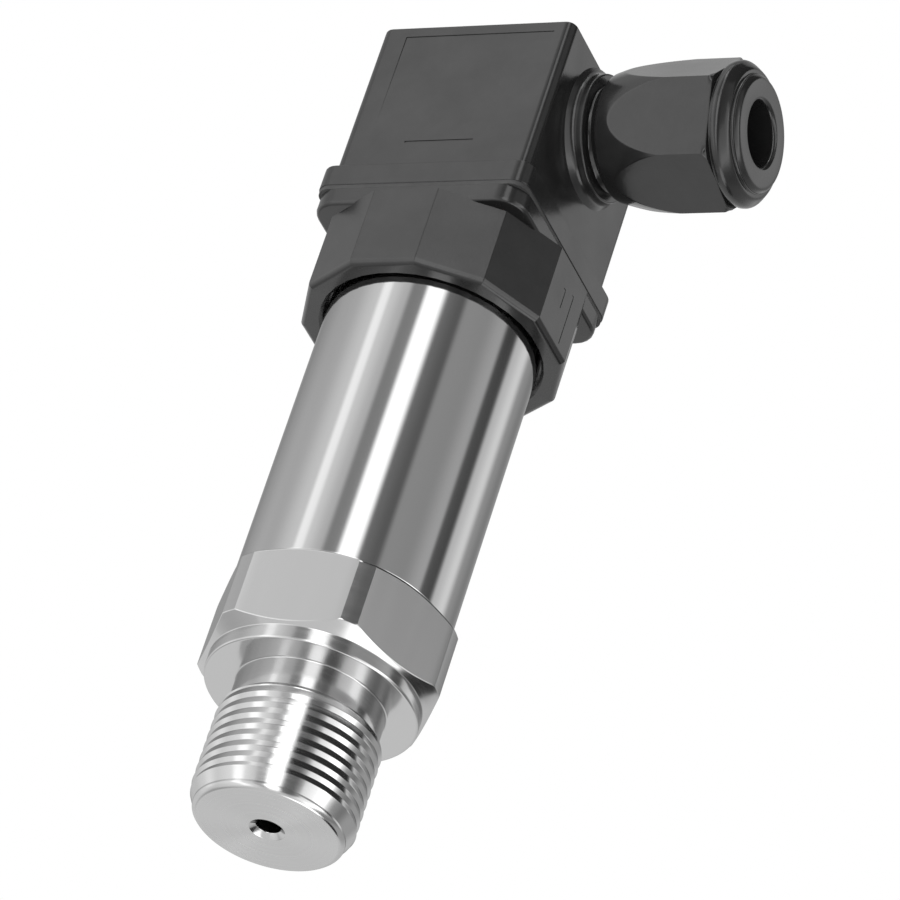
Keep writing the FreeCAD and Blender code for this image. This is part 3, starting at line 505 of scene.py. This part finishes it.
for axis, share in (("X", "COSINE"), ("Y", "SINE")):
    across = figure(thread_tree, "MULTIPLY", out, figure(thread_tree, share, angle))
    thread_tree.links.new(across, wound.inputs[axis])
thread_tree.links.new(along, wound.inputs["Z"])
moved = thread_tree.nodes.new("GeometryNodeSetPosition")
thread_tree.links.new(sheet.outputs["Mesh"], moved.inputs["Geometry"])
thread_tree.links.new(wound.outputs["Vector"], moved.inputs["Position"])
realized = thread_tree.nodes.new("GeometryNodeRealizeInstances")
thread_tree.links.new(moved.outputs["Geometry"], realized.inputs["Geometry"])
painted = thread_tree.nodes.new("GeometryNodeSetMaterial")
thread_tree.links.new(realized.outputs["Geometry"], painted.inputs["Geometry"])
thread_tree.links.new(given["Finish"], painted.inputs["Material"])
result = thread_tree.nodes.new("NodeGroupOutput")
thread_tree.links.new(painted.outputs["Geometry"], result.inputs[0])


def cut_thread(name, place, **settings):
    """The thread's skin as a bmesh, wound by the tree with its inputs set by name."""
    holder = bpy.data.objects.new(name, bpy.data.meshes.new(name))
    bpy.context.collection.objects.link(holder)
    winding = holder.modifiers.new("winding", "NODES")
    winding.node_group = thread_tree
    sockets = {item.name: item.identifier
               for item in thread_tree.interface.items_tree if item.in_out == "INPUT"}
    for word, setting in settings.items():
        winding[sockets[word.replace("_", " ")]] = setting
    evaluated = holder.evaluated_get(bpy.context.evaluated_depsgraph_get())
    wound_mesh = bpy.data.meshes.new_from_object(evaluated)
    holder.modifiers.remove(winding)
    bpy.data.objects.remove(holder)
    shell = bmesh.new()
    shell.from_mesh(wound_mesh)
    bpy.data.meshes.remove(wound_mesh)
    for vertex in shell.verts:
        x, y, z = vertex.co
        vertex.co = Vector(place(math.hypot(x, y), z, math.degrees(math.atan2(y, x)))) * MM
    return shell


turned_steel = new_finish("turned_steel", 0.58, 0.2, metallic=1.0)
spread(turned_steel, grain(turned_steel, (60, 60, 2500)), "Roughness", 0.11, 0.18)
relief(turned_steel, grain(turned_steel, (40, 40, 5200)), 0.002)
faced_steel = new_finish("faced_steel", 0.6, 0.3, metallic=1.0)
spread(faced_steel, ringed_grain(faced_steel, 1500), "Roughness", 0.26, 0.31)
rings_round_axis = faced_steel.node_tree.nodes.new("ShaderNodeTangent")
rings_round_axis.direction_type = "RADIAL"
rings_round_axis.axis = "Z"
faced_shader = faced_steel.node_tree.nodes["Principled BSDF"]
faced_shader.inputs["Anisotropic"].default_value = 0.8
faced_shader.inputs["Anisotropic Rotation"].default_value = 0.25
faced_steel.node_tree.links.new(rings_round_axis.outputs["Tangent"], faced_shader.inputs["Tangent"])
hexagon_steel = new_finish("hexagon_bar_steel", 0.58, 0.3, metallic=1.0)
spread(hexagon_steel, grain(hexagon_steel, (900, 900, 60)), "Roughness", 0.17, 0.22)


def hexagon_reach(degrees, apothem, corner):
    """How far a hexagon with turned corners reaches at an angle from one of its corners."""
    from_corner = (degrees + 30) % 60 - 30
    return min(apothem / math.cos(math.radians(30 - abs(from_corner))), corner)


def connection_outline(degrees):
    """From the pilot over the end face, up the bores, and down the outside to the neck."""
    flat = hexagon_reach(degrees, HEX_APOTHEM, HEX_CORNER)
    inset = (HEX_CORNER - flat) * HEX_CHAMFER
    return eased([
        (PILOT, PILOT_HEIGHT, 0), (PILOT, PILOT_BEVEL, 0.25), (PILOT - PILOT_BEVEL, 0, 0.3),
        (FACE_CENTRE, 0, 0.05), (PORT, PORT_BEVEL, 0.05), (PORT, CHAMBER_FLOOR, 0),
        (CHAMBER, CHAMBER_FLOOR, 0), (CHAMBER, POCKET_FLOOR, 0), (POCKET, POCKET_FLOOR, 0),
        (POCKET, SENSOR_TOP, 0), (RETAINER_BORE, SENSOR_TOP, 0), (RETAINER_BORE, SPIGOT_TOP, 0),
        (SPIGOT, SPIGOT_TOP, 0.2), (SPIGOT, TUBE_SEAT, 0), (TUBE_RADIUS, TUBE_SEAT, 0.05),
        (flat, HEX_CORNER_HIGH + inset, 0.22), (flat, HEX_CORNER_LOW - inset, 0.10),
        (COLLAR_RADIUS, COLLAR_TOP, 0.08), (COLLAR_RADIUS, COLLAR_SEAT + COLLAR_STEP / 2, 0.25),
        (COLLAR_RADIUS - COLLAR_STEP, COLLAR_SEAT, 0.15),
        (NECK_RADIUS, COLLAR_SEAT, 0.2), (NECK_RADIUS, THREAD_END, 0),
    ])


def connection_finish(face):
    """Slot 1 on the end face, 2 on the hexagon's flats, 0 on all that is turned."""
    middle = face.calc_center_median() / MM
    hair = 0.01
    if middle.z < hair:
        return 1
    along_flat = HEX_CORNER_LOW - HEX_FLAT_MARGIN < middle.z < HEX_CORNER_HIGH + HEX_FLAT_MARGIN
    inside_corner = math.hypot(middle.x, middle.y) < HEX_CORNER - hair
    return 2 if along_flat and abs(face.normal.z) < 0.2 and inside_corner else 0


def thread_place(out, along, degrees):
    return upright(out, along + PILOT_HEIGHT, degrees + HEX_TURN + THREAD_TURN)


process_thread = cut_thread(
    "process_thread", thread_place,
    Pitch=THREAD_PITCH, Root=THREAD_ROOT, Crest=THREAD_CREST, Length=THREAD_END - PILOT_HEIGHT,
    Upper_flank=THREAD_UPPER_FLANK, Entry_radius=PILOT, Entry_slope=(THREAD_CREST - PILOT) / ENTRY_HEIGHT,
    Exit_radius=NECK_RADIUS, Columns=ROUND_STEPS + 1, Rows=THREAD_ROWS, Finish=turned_steel)
finished("process_connection_steel",
         [process_thread, turned(connection_outline, start=HEX_TURN, loop=False)],
         [turned_steel, faced_steel, hexagon_steel], "transmitter", "process_connection",
         pick=connection_finish, sharp=21)

# Housing tube: a length of drawn stainless tube, polished all round. It is pushed over
# the connection's spigot and laser welded to it.
TUBE_WALL = 1.0
TUBE_MIDDLE = 54.0
TUBE_TOP = 77.487
polished_steel = new_finish("polished_tube_steel", 0.58, 0.15, metallic=1.0)
spread(polished_steel, grain(polished_steel, (300, 300, 30)), "Roughness", 0.07, 0.12)
relief(polished_steel, grain(polished_steel, (1200, 1200, 9)), 0.0012)
tube_outline = eased([
    (TUBE_RADIUS - TUBE_WALL, TUBE_SEAT, 0), (TUBE_RADIUS, TUBE_SEAT, 0.15), (TUBE_RADIUS, TUBE_MIDDLE, 0),
    (TUBE_RADIUS, TUBE_TOP, 0.15), (TUBE_RADIUS - TUBE_WALL, TUBE_TOP, 0)])
finished("housing_tube_polished", [turned(lambda degrees: tube_outline)],
         [polished_steel], "transmitter", "housing_tube")

# Connector base: black moulding in glass-filled nylon, a twelve-sided collar over the
# tube end under a square flange. Its spigot is sealed in the tube.
COLLAR_HOLE = 13.75
COLLAR_APOTHEM = 16.13
COLLAR_LOW = 70.287
COLLAR_SIDES = 12
COLLAR_CORNER = 0.35
COLLAR_RIM = 0.8
LEAST_CORNER = 0.12
FLANGE_LOW = 81.187
FLANGE_HALF = 14.25
FLANGE_CORNER = 3.4
FLANGE_RIM = 0.5
# The collar goes this far up into the flange, so that the two are one body.
FLANGE_OVERLAP = 0.3
BASE_TOP = 83.587
BASE_RIM = 0.08
# The flange's flat faces start this far in from its edge.
FLAT_INSET = 2.0
MOUTH_WALL = 14.3
MOUTH_BEVEL = 0.4
MOUTH_TOP = TUBE_TOP + 0.05
SPIGOT_ROOT = TUBE_TOP + 0.1
SPIGOT_OUTER = 12.2
SPIGOT_BEVEL = 0.4
SPIGOT_BORE = 9.5
SPIGOT_LOW = 66.987
SEAL_LOW = 69.687
SEAL_HIGH = 71.487
SEAL_DEPTH = 1.2
BASE_FLOOR = 75.987
BRASS_HOLE = 2.4
# Two plain marks on the right face: middle, low end and high end of each.
MARKS = ((1.39, 71.5, 78.7), (-0.80, 75.2, 78.0))
MARK_WIDTH = 0.7
MARK_DEPTH = 0.10
CUTTER_REACH = 1.0


def black_moulding(name, tone, roughness, specular):
    """Spark-eroded satin surface with faint flow clouds."""
    material = new_finish(name, tone, roughness, specular=specular)
    clouds = grain(material, (130, 130, 130), detail=3.0)
    spread(material, clouds, "Roughness", roughness - 0.05, roughness + 0.05)
    two_tone(material, grain(material, (420, 420, 420), detail=4.0), (tone * 0.9,) * 3, (tone * 1.12,) * 3)
    relief(material, grain(material, (2600, 2600, 2600)), 0.006)
    return material


def polygon_ring(sides, apothem, corner, height, corner_steps=4, side_steps=3):
    """A regular polygon with rounded corners; a side faces +X."""
    half = math.pi / sides
    reach = (apothem - corner) / math.cos(half)
    ring = []
    for number in range(sides):
        middle = half * (2 * number + 1)
        for step in range(corner_steps + 1):
            angle = middle - half + 2 * half * step / corner_steps
            ring.append((reach * math.cos(middle) + corner * math.cos(angle),
                         reach * math.sin(middle) + corner * math.sin(angle), height))
        following = middle + 2 * half
        last = Vector(ring[-1])
        first = Vector((reach * math.cos(following) + corner * math.cos(middle + half),
                        reach * math.sin(following) + corner * math.sin(middle + half), height))
        for step in range(1, side_steps):
            ring.append(tuple(last.lerp(first, step / side_steps)))
    return ring


def square_ring(half_x, half_y, corner, height, corner_steps=6, side_steps=6):
    """A rectangle with rounded corners."""
    ring = []
    for side_x, side_y, start in ((1, 1, 0), (-1, 1, 90), (-1, -1, 180), (1, -1, 270)):
        for step in range(corner_steps + 1):
            angle = math.radians(start + 90 * step / corner_steps)
            ring.append((side_x * (half_x - corner) + corner * math.cos(angle),
                         side_y * (half_y - corner) + corner * math.sin(angle), height))
        last = Vector(ring[-1])
        # The next corner is this one turned a quarter round.
        first = Vector((-side_y * (half_x - corner) + corner * math.cos(angle),
                        side_x * (half_y - corner) + corner * math.sin(angle), height))
        for step in range(1, side_steps):
            ring.append(tuple(last.lerp(first, step / side_steps)))
    return ring


def round_ring(like, radius, height):
    """A circle whose points have the bearings of another ring's."""
    return [(radius * x / math.hypot(x, y), radius * y / math.hypot(x, y), height) for x, y, z in like]


def rounded_rim(ring_at, edge, rim, towards, steps=5):
    """Rings round a quarter-round rim, from ring_at(inset, height). Towards is 1 at an
    upper rim and -1 at a lower one."""
    rings = []
    for step in range(steps + 1):
        angle = math.pi / 2 * step / steps
        rings.append(ring_at(rim * (1 - math.cos(angle)), edge - towards * rim * (1 - math.sin(angle))))
    return rings


def collar_ring(inset, height):
    corner = max(COLLAR_CORNER - inset, LEAST_CORNER)
    return polygon_ring(COLLAR_SIDES, COLLAR_APOTHEM - inset, corner, height)


def flange_ring(inset, height):
    return square_ring(FLANGE_HALF - inset, FLANGE_HALF - inset, FLANGE_CORNER - inset, height)


def cut_away(shell, *cutters):
    """Take closed cutters out of a closed shell."""
    solids = []
    for item in (shell, *cutters):
        bmesh.ops.recalc_face_normals(item, faces=item.faces)
        mesh = bpy.data.meshes.new("cutting")
        item.to_mesh(mesh)
        item.free()
        solid = bpy.data.objects.new("cutting", mesh)
        bpy.context.collection.objects.link(solid)
        solids.append(solid)
    for cutter in solids[1:]:
        cut = solids[0].modifiers.new("cut", "BOOLEAN")
        cut.operation = "DIFFERENCE"
        cut.solver = "EXACT"
        cut.object = cutter
    evaluated = solids[0].evaluated_get(bpy.context.evaluated_depsgraph_get())
    cut_mesh = bpy.data.meshes.new_from_object(evaluated)
    left = bmesh.new()
    left.from_mesh(cut_mesh)
    bpy.data.meshes.remove(cut_mesh)
    for solid in solids:
        bpy.data.objects.remove(solid)
    return left


def bar(low, high, ease):
    """A bar along X between two corners, with rounded edges, used as a cutter."""
    low, high = Vector(low), Vector(high)
    middle = (low + high) / 2
    half = (high - low) / 2
    section = square_ring(half.y, half.z, ease, 0, corner_steps=4, side_steps=1)
    rings = [[(x, middle.y + y, middle.z + z) for y, z, _ in section] for x in (low.x, high.x)]
    return skin(rings, cap=True)


black_plastic = black_moulding("black_nylon", 0.028, 0.19, 0.55)
round_collar = collar_ring(0, 0)
collar_rings = [collar_ring(0, FLANGE_LOW + FLANGE_OVERLAP)]
collar_rings += rounded_rim(collar_ring, COLLAR_LOW, COLLAR_RIM, -1)
collar_rings += [round_ring(round_collar, out, along) for out, along in (
    (MOUTH_WALL, COLLAR_LOW), (MOUTH_WALL, MOUTH_TOP), (SPIGOT_OUTER, SPIGOT_ROOT),
    (SPIGOT_OUTER, SEAL_HIGH), (SPIGOT_OUTER - SEAL_DEPTH, SEAL_HIGH),
    (SPIGOT_OUTER - SEAL_DEPTH, SEAL_LOW), (SPIGOT_OUTER, SEAL_LOW),
    (SPIGOT_OUTER, SPIGOT_LOW + SPIGOT_BEVEL), (SPIGOT_OUTER - SPIGOT_BEVEL, SPIGOT_LOW),
    (SPIGOT_BORE, SPIGOT_LOW), (SPIGOT_BORE, BASE_FLOOR),
    (BRASS_HOLE, BASE_FLOOR), (BRASS_HOLE, FLANGE_LOW + FLANGE_OVERLAP))]
mark_cutters = [bar((COLLAR_APOTHEM - MARK_DEPTH, middle - MARK_WIDTH / 2, low),
                    (COLLAR_APOTHEM + CUTTER_REACH, middle + MARK_WIDTH / 2, high), ease=0.2)
                for middle, low, high in MARKS]
collar_shell = cut_away(skin(collar_rings, loop=True), *mark_cutters)
round_flange = flange_ring(0, 0)
flange_rings = [round_ring(round_flange, BRASS_HOLE, FLANGE_LOW), flange_ring(FLAT_INSET, FLANGE_LOW)]
flange_rings += rounded_rim(flange_ring, FLANGE_LOW, FLANGE_RIM, -1)[::-1]
flange_rings += rounded_rim(flange_ring, BASE_TOP, BASE_RIM, 1)
flange_rings += [flange_ring(FLAT_INSET, BASE_TOP), round_ring(round_flange, BRASS_HOLE, BASE_TOP)]
base = finished("connector_base_moulding", [collar_shell, skin(flange_rings, loop=True)], [black_plastic],
                "transmitter", "connector_base", sharp=40)
# The mouth is a piece of its own, since the tube's polish shows it and nothing else
# of the moulding.
base.visible_glossy = False
mouth_rings = [round_ring(round_collar, out, along) for out, along in (
    (MOUTH_WALL, COLLAR_LOW), (COLLAR_HOLE + MOUTH_BEVEL, COLLAR_LOW),
    (COLLAR_HOLE, COLLAR_LOW + MOUTH_BEVEL), (COLLAR_HOLE, MOUTH_TOP), (MOUTH_WALL, MOUTH_TOP))]
finished("connector_base_mouth", [skin(mouth_rings, loop=True)], [black_plastic],
         "transmitter", "connector_base", sharp=40)

# Plug housing: black moulding, a box on a square foot, with the fixing screw's well in
# the roof, shallow panels front and back, and the threaded cable neck.
PLUG_LOW = 84.187
FOOT_TOP = 87.287
FOOT_CORNER = 2.0
FOOT_RIM = 0.2
FOOT_LOW_BEVEL = 0.06
BOX_HALF_X = 13.16
BOX_HALF_Y = 13.03
BOX_CORNER = 1.3
LEAST_BOX_CORNER = 0.3
# The fillet between foot and box: how far out and how high each ring is.
BOX_FILLET = ((0.12, 0.0), (0.03, 0.04), (0.0, 0.12))
CAVITY_X = 11.46
CAVITY_Y = 11.33
CAVITY_CORNER = 0.3
BOX_TOP = 110.187
BOX_RIM = 0.4
ROOF_FLAT_INSET = 2.5
ROOF_LOW = 106.987
WELL = 4.2
WELL_BEVEL = 0.4
WELL_FLOOR = 103.987
COLUMN_LOW = 102.787
COLUMN = 5.6
SCREW_HOLE = 1.7
GLAND_HEIGHT = 102.067
BOSS = 8.0
BOSS_FACE = 15.1
BOSS_FILLET = 0.8
NECK = 7.0
NECK_ROOT = 6.55
NECK_END = 27.0
NECK_PITCH = 1.5
NECK_STEPS = 96
NECK_ROWS = 145
NECK_BORE = 5.4
GROMMET_FLOOR = 17.0
CABLE_WAY = 4.45
# The cutter for the cable's way goes through the wall between these places.
WALL_CUT = (10.0, 14.0)
# The front and back panels are sunk at the top and run out to nothing below.
PANEL_TOP = 108.587
PANEL_DROP = 14.0
PANEL_DEPTH = 0.09
PANEL_SIDES = (-9.5, 10.8)
PRY_SLOT_LOW = 91.50
PRY_SLOT_HIGH = 91.76
PRY_SLOT_HALF = 4.65
PRY_SLOT_DEPTH = 0.16


def sideways(out, along, degrees):
    """A point of a piece turned about the cable's axis."""
    angle = math.radians(degrees)
    return (along, out * math.sin(angle), GLAND_HEIGHT - out * math.cos(angle))


def foot_ring(inset, height):
    return square_ring(FLANGE_HALF - inset, FLANGE_HALF - inset, FOOT_CORNER - inset, height)


def box_ring(inset, height):
    corner = max(BOX_CORNER - inset, LEAST_BOX_CORNER)
    return square_ring(BOX_HALF_X - inset, BOX_HALF_Y - inset, corner, height)


def cavity_ring(height):
    return square_ring(CAVITY_X, CAVITY_Y, CAVITY_CORNER, height)


def panel_cutter(side):
    """A wedge that sinks the panel on one side of the box."""
    face = side * BOX_HALF_Y
    outside = face + side * CUTTER_REACH / 2
    low = PANEL_TOP - PANEL_DROP
    return skin([[(x, outside, PANEL_TOP), (x, face - side * PANEL_DEPTH, PANEL_TOP), (x, face, low),
                  (x, outside, low)] for x in PANEL_SIDES], cap=True)


def slot_cutter(side):
    """A bar that cuts the pry slot on one side of the box."""
    face = side * BOX_HALF_Y
    inner, outer = sorted((face - side * PRY_SLOT_DEPTH, face + side * CUTTER_REACH))
    return bar((-PRY_SLOT_HALF, inner, PRY_SLOT_LOW), (PRY_SLOT_HALF, outer, PRY_SLOT_HIGH), ease=0.1)


def cable_cutter(degrees):
    """The outline of a plug through the wall, as wide as the cable's way."""
    near, far = WALL_CUT
    middle = 0.01
    return [(CABLE_WAY, near), (CABLE_WAY, far), (middle, far), (middle, near)]


def neck_outline(degrees):
    """From the thread's root over the boss into the wall, and out again through the bore."""
    inside_wall = BOX_HALF_X - BOSS_FILLET
    return eased([
        (NECK_ROOT, BOSS_FACE, 0), (BOSS, BOSS_FACE, 0.3), (BOSS, BOX_HALF_X + 0.7, 0.6),
        (BOSS + BOSS_FILLET, BOX_HALF_X, 0), (BOSS + BOSS_FILLET, inside_wall, 0),
        (CABLE_WAY, inside_wall, 0), (CABLE_WAY, GROMMET_FLOOR, 0), (NECK_BORE, GROMMET_FLOOR, 0),
        (NECK_BORE, NECK_END, 0.15), (NECK_ROOT, NECK_END, 0)])


def neck_place(out, along, degrees):
    return sideways(out, along + BOSS_FACE, degrees)


round_foot = foot_ring(0, 0)
box_rings = [round_ring(round_foot, COLUMN, COLUMN_LOW), round_ring(round_foot, COLUMN, ROOF_LOW)]
box_rings += [cavity_ring(ROOF_LOW), cavity_ring(PLUG_LOW)]
box_rings += [foot_ring(FOOT_LOW_BEVEL, PLUG_LOW), foot_ring(0, PLUG_LOW + FOOT_LOW_BEVEL)]
box_rings += rounded_rim(foot_ring, FOOT_TOP, FOOT_RIM, 1)
box_rings += [box_ring(-further, FOOT_TOP + higher) for further, higher in BOX_FILLET]
box_rings += rounded_rim(box_ring, BOX_TOP, BOX_RIM, 1)
box_rings += [box_ring(ROOF_FLAT_INSET, BOX_TOP)]
box_rings += [round_ring(round_foot, out, along) for out, along in (
    (WELL + WELL_BEVEL, BOX_TOP), (WELL, BOX_TOP - WELL_BEVEL), (WELL, WELL_FLOOR),
    (SCREW_HOLE, WELL_FLOOR), (SCREW_HOLE, COLUMN_LOW))]
cutters = [cutter(side) for side in (-1, 1) for cutter in (panel_cutter, slot_cutter)]
cutters.append(turned(cable_cutter, place=sideways, steps=60))
box_shell = cut_away(skin(box_rings, loop=True), *cutters)
neck_shell = turned(neck_outline, place=sideways, steps=NECK_STEPS, loop=False)
neck_thread = cut_thread(
    "neck_thread", neck_place, Pitch=NECK_PITCH, Root=NECK_ROOT, Crest=NECK, Length=NECK_END - BOSS_FACE,
    Upper_flank=0.5, Entry_radius=NECK_ROOT, Entry_slope=1.0, Exit_radius=NECK_ROOT,
    Columns=NECK_STEPS + 1, Rows=NECK_ROWS, Finish=black_plastic)
finished("plug_housing_moulding", [box_shell, neck_shell, neck_thread], [black_plastic],
         "plug", "plug_housing", sharp=40)

# Gland nut: black moulding, 17 mm hexagon with a domed skirt, a bead round the nose and
# the cable's hole. It screws on the neck and squeezes the grommet.
NUT_MOUTH = 16.6
NUT_BORE = 7.05
NUT_WALL = 0.75
NUT_RIM = 0.5
NUT_CORNER = 9.815
NUT_APOTHEM = 8.5
NUT_TURN = 23.0
NUT_SKIRT_END = 25.6
NUT_HEX_END = 31.7
NUT_FLOOR = 30.0
NUT_MOUTH_BEVEL = 0.3
NUT_HEX_BEVEL = 0.4
# The groove, bead and nose: radius, place along the nut and ease of each corner.
NUT_NOSE = (
    (8.465, 32.1, 0.1), (8.465, 32.5, 0.1), (9.015, 32.5, 0.3), (9.065, 33.4, 0.5), (7.965, 34.6, 0.5),
    (7.32, 34.6, 0.12), (7.2, 34.85, 0.12), (7.25, 35.0, 0.05), (6.8, 35.5, 0.45), (4.35, 35.5, 0.25),
)
CABLE_HOLE = 4.05
CABLE_HOLE_END = 35.15
# The skirt is an arc from the rounded mouth to the hexagon's corners, in this many steps.
SKIRT_CURVE = 45.0
SKIRT_STEPS = 7
skirt_start = Vector((NUT_BORE + NUT_WALL + NUT_RIM / 2, NUT_MOUTH + NUT_RIM))
skirt_end = Vector((NUT_CORNER, NUT_SKIRT_END))
skirt_chord = skirt_end - skirt_start
skirt_inward = Vector((-skirt_chord.y, skirt_chord.x)).normalized()
skirt_rise = math.sqrt(SKIRT_CURVE ** 2 - skirt_chord.length_squared / 4)
skirt_centre = (skirt_start + skirt_end) / 2 + skirt_inward * skirt_rise


def skirt_radius(along):
    return skirt_centre.x + math.sqrt(SKIRT_CURVE ** 2 - (along - skirt_centre.y) ** 2)


def skirt_place(radius):
    """How far along the nut the skirt has this radius."""
    return skirt_centre.y - math.sqrt(SKIRT_CURVE ** 2 - (radius - skirt_centre.x) ** 2)


def nut_outline(degrees):
    """From the bore over the mouth, along skirt and hexagon, round the nose and back in."""
    flat = hexagon_reach(degrees, NUT_APOTHEM, NUT_CORNER)
    crease = skirt_place(flat)
    outline = [(NUT_BORE, NUT_MOUTH + NUT_MOUTH_BEVEL, 0), (NUT_BORE + NUT_MOUTH_BEVEL, NUT_MOUTH, 0.1),
               (NUT_BORE + NUT_WALL, NUT_MOUTH, 0.3)]
    for step in range(SKIRT_STEPS):
        along = skirt_start.y + (crease - skirt_start.y) * step / SKIRT_STEPS
        outline.append((skirt_radius(along), along, 0))
    outline += [
        (flat, crease, 0.3), (flat, NUT_HEX_END, 0.2),
        (min(flat, NUT_CORNER - NUT_HEX_BEVEL), NUT_HEX_END + NUT_HEX_BEVEL, 0.1), *NUT_NOSE,
        (CABLE_HOLE, CABLE_HOLE_END, 0.2), (CABLE_HOLE, NUT_FLOOR, 0), (NUT_BORE, NUT_FLOOR, 0),
    ]
    return eased(outline)


nut_plastic = black_moulding("gland_nut_nylon", 0.026, 0.17, 0.55)
finished("gland_nut_moulding", [turned(nut_outline, place=sideways, start=NUT_TURN)], [nut_plastic],
         "gland_nut", "gland_nut", sharp=40)

# Gasket and grommet: grey moulded rubber. The flat gasket is clamped between base and
# plug, and the nut squeezes the grommet round the cable.
gasket_rubber = new_finish("grey_rubber", 0.075, 0.6, specular=0.4)
spread(gasket_rubber, grain(gasket_rubber, (900, 900, 900)), "Roughness", 0.5, 0.7)


def dress(material, *names):
    """Give CAD nodes a finish."""
    for name in names:
        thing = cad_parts[name]
        thing.data.materials.clear()
        thing.data.materials.append(material)


dress(gasket_rubber, "profile_gasket", "cable_grommet")

# Sealing rings: black moulded rubber. One lies round the sensor in its pocket, and one
# in the groove of the base's spigot against the tube.
rubber = new_finish("black_rubber", 0.022, 0.7, specular=0.3)
spread(rubber, grain(rubber, (900, 900, 900)), "Roughness", 0.62, 0.8)
relief(rubber, grain(rubber, (3000, 3000, 3000)), 0.012)
dress(rubber, "sensor_o_ring", "tube_o_ring")

# Contact carrier, board holder and clamp washer: mouldings in dark grey unfilled nylon.
# The carrier sits in the plug, the holder on the connection's spigot, and the washer
# between grommet and nut.
inner_plastic = black_moulding("dark_nylon", 0.06, 0.5, 0.4)
dress(inner_plastic, "terminal_insert", "board_holder", "clamp_washer")

# Contacts: tinned brass. The blades stand in the base, with a clip of the carrier folded
# over each, and the pins stand in the sensor's header.
tinned = new_finish("tinned_brass", 0.62, 0.3, metallic=1.0)
spread(tinned, grain(tinned, (700, 700, 700)), "Roughness", 0.22, 0.4)
dress(tinned, "contact_blades", "earth_blade", "socket_contacts", "header_pins")

# Screws and washer: zinc-plated steel. Four short screws clamp the cable's wires in the
# carrier, and a long one with the washer holds the plug on the base.
plated = new_finish("zinc_plated_steel", 0.55, 0.3, metallic=1.0)
spread(plated, grain(plated, (1500, 1500, 1500)), "Roughness", 0.22, 0.42)
relief(plated, grain(plated, (2500, 2500, 2500)), 0.004)
dress(plated, "terminal_screws", "fixing_screw", "screw_washer")

# Insert: a turned brass bush with the fixing screw's thread. It is moulded into the
# middle of the base.
brass = new_finish("brass", (0.78, 0.55, 0.22), 0.28, metallic=1.0)
two_tone(brass, grain(brass, (600, 600, 600)), (0.70, 0.48, 0.18), (0.80, 0.58, 0.25))
dress(brass, "threaded_insert")

# Sensor: a welded stainless capsule filled with oil, with its thin corrugated foil
# towards the port. A threaded ring holds it down in its pocket.
capsule_steel = new_finish("capsule_steel", 0.55, 0.25, metallic=1.0)
spread(capsule_steel, ringed_grain(capsule_steel, 2000), "Roughness", 0.18, 0.34)
dress(capsule_steel, "sensor_capsule", "isolating_diaphragm", "sensor_retaining_ring")

# Boards: glass-epoxy with green lacquer, one on the header pins and one upright in the
# holder's rails. The upright one has black parts soldered on and red wires to the blades.
lacquer = new_finish("board_lacquer", (0.02, 0.12, 0.05), 0.35)
two_tone(lacquer, grain(lacquer, (500, 500, 90)), (0.015, 0.10, 0.04), (0.03, 0.16, 0.07))
dress(lacquer, "compensation_board", "amplifier_board")
chip_epoxy = new_finish("chip_epoxy", 0.03, 0.55)
relief(chip_epoxy, grain(chip_epoxy, (4000, 4000, 4000)), 0.006)
dress(chip_epoxy, "board_components")
wire_cover = new_finish("wire_cover", (0.45, 0.03, 0.02), 0.4)
two_tone(wire_cover, grain(wire_cover, (200, 200, 200)), (0.40, 0.025, 0.02), (0.5, 0.04, 0.03))
dress(wire_cover, "signal_wires")
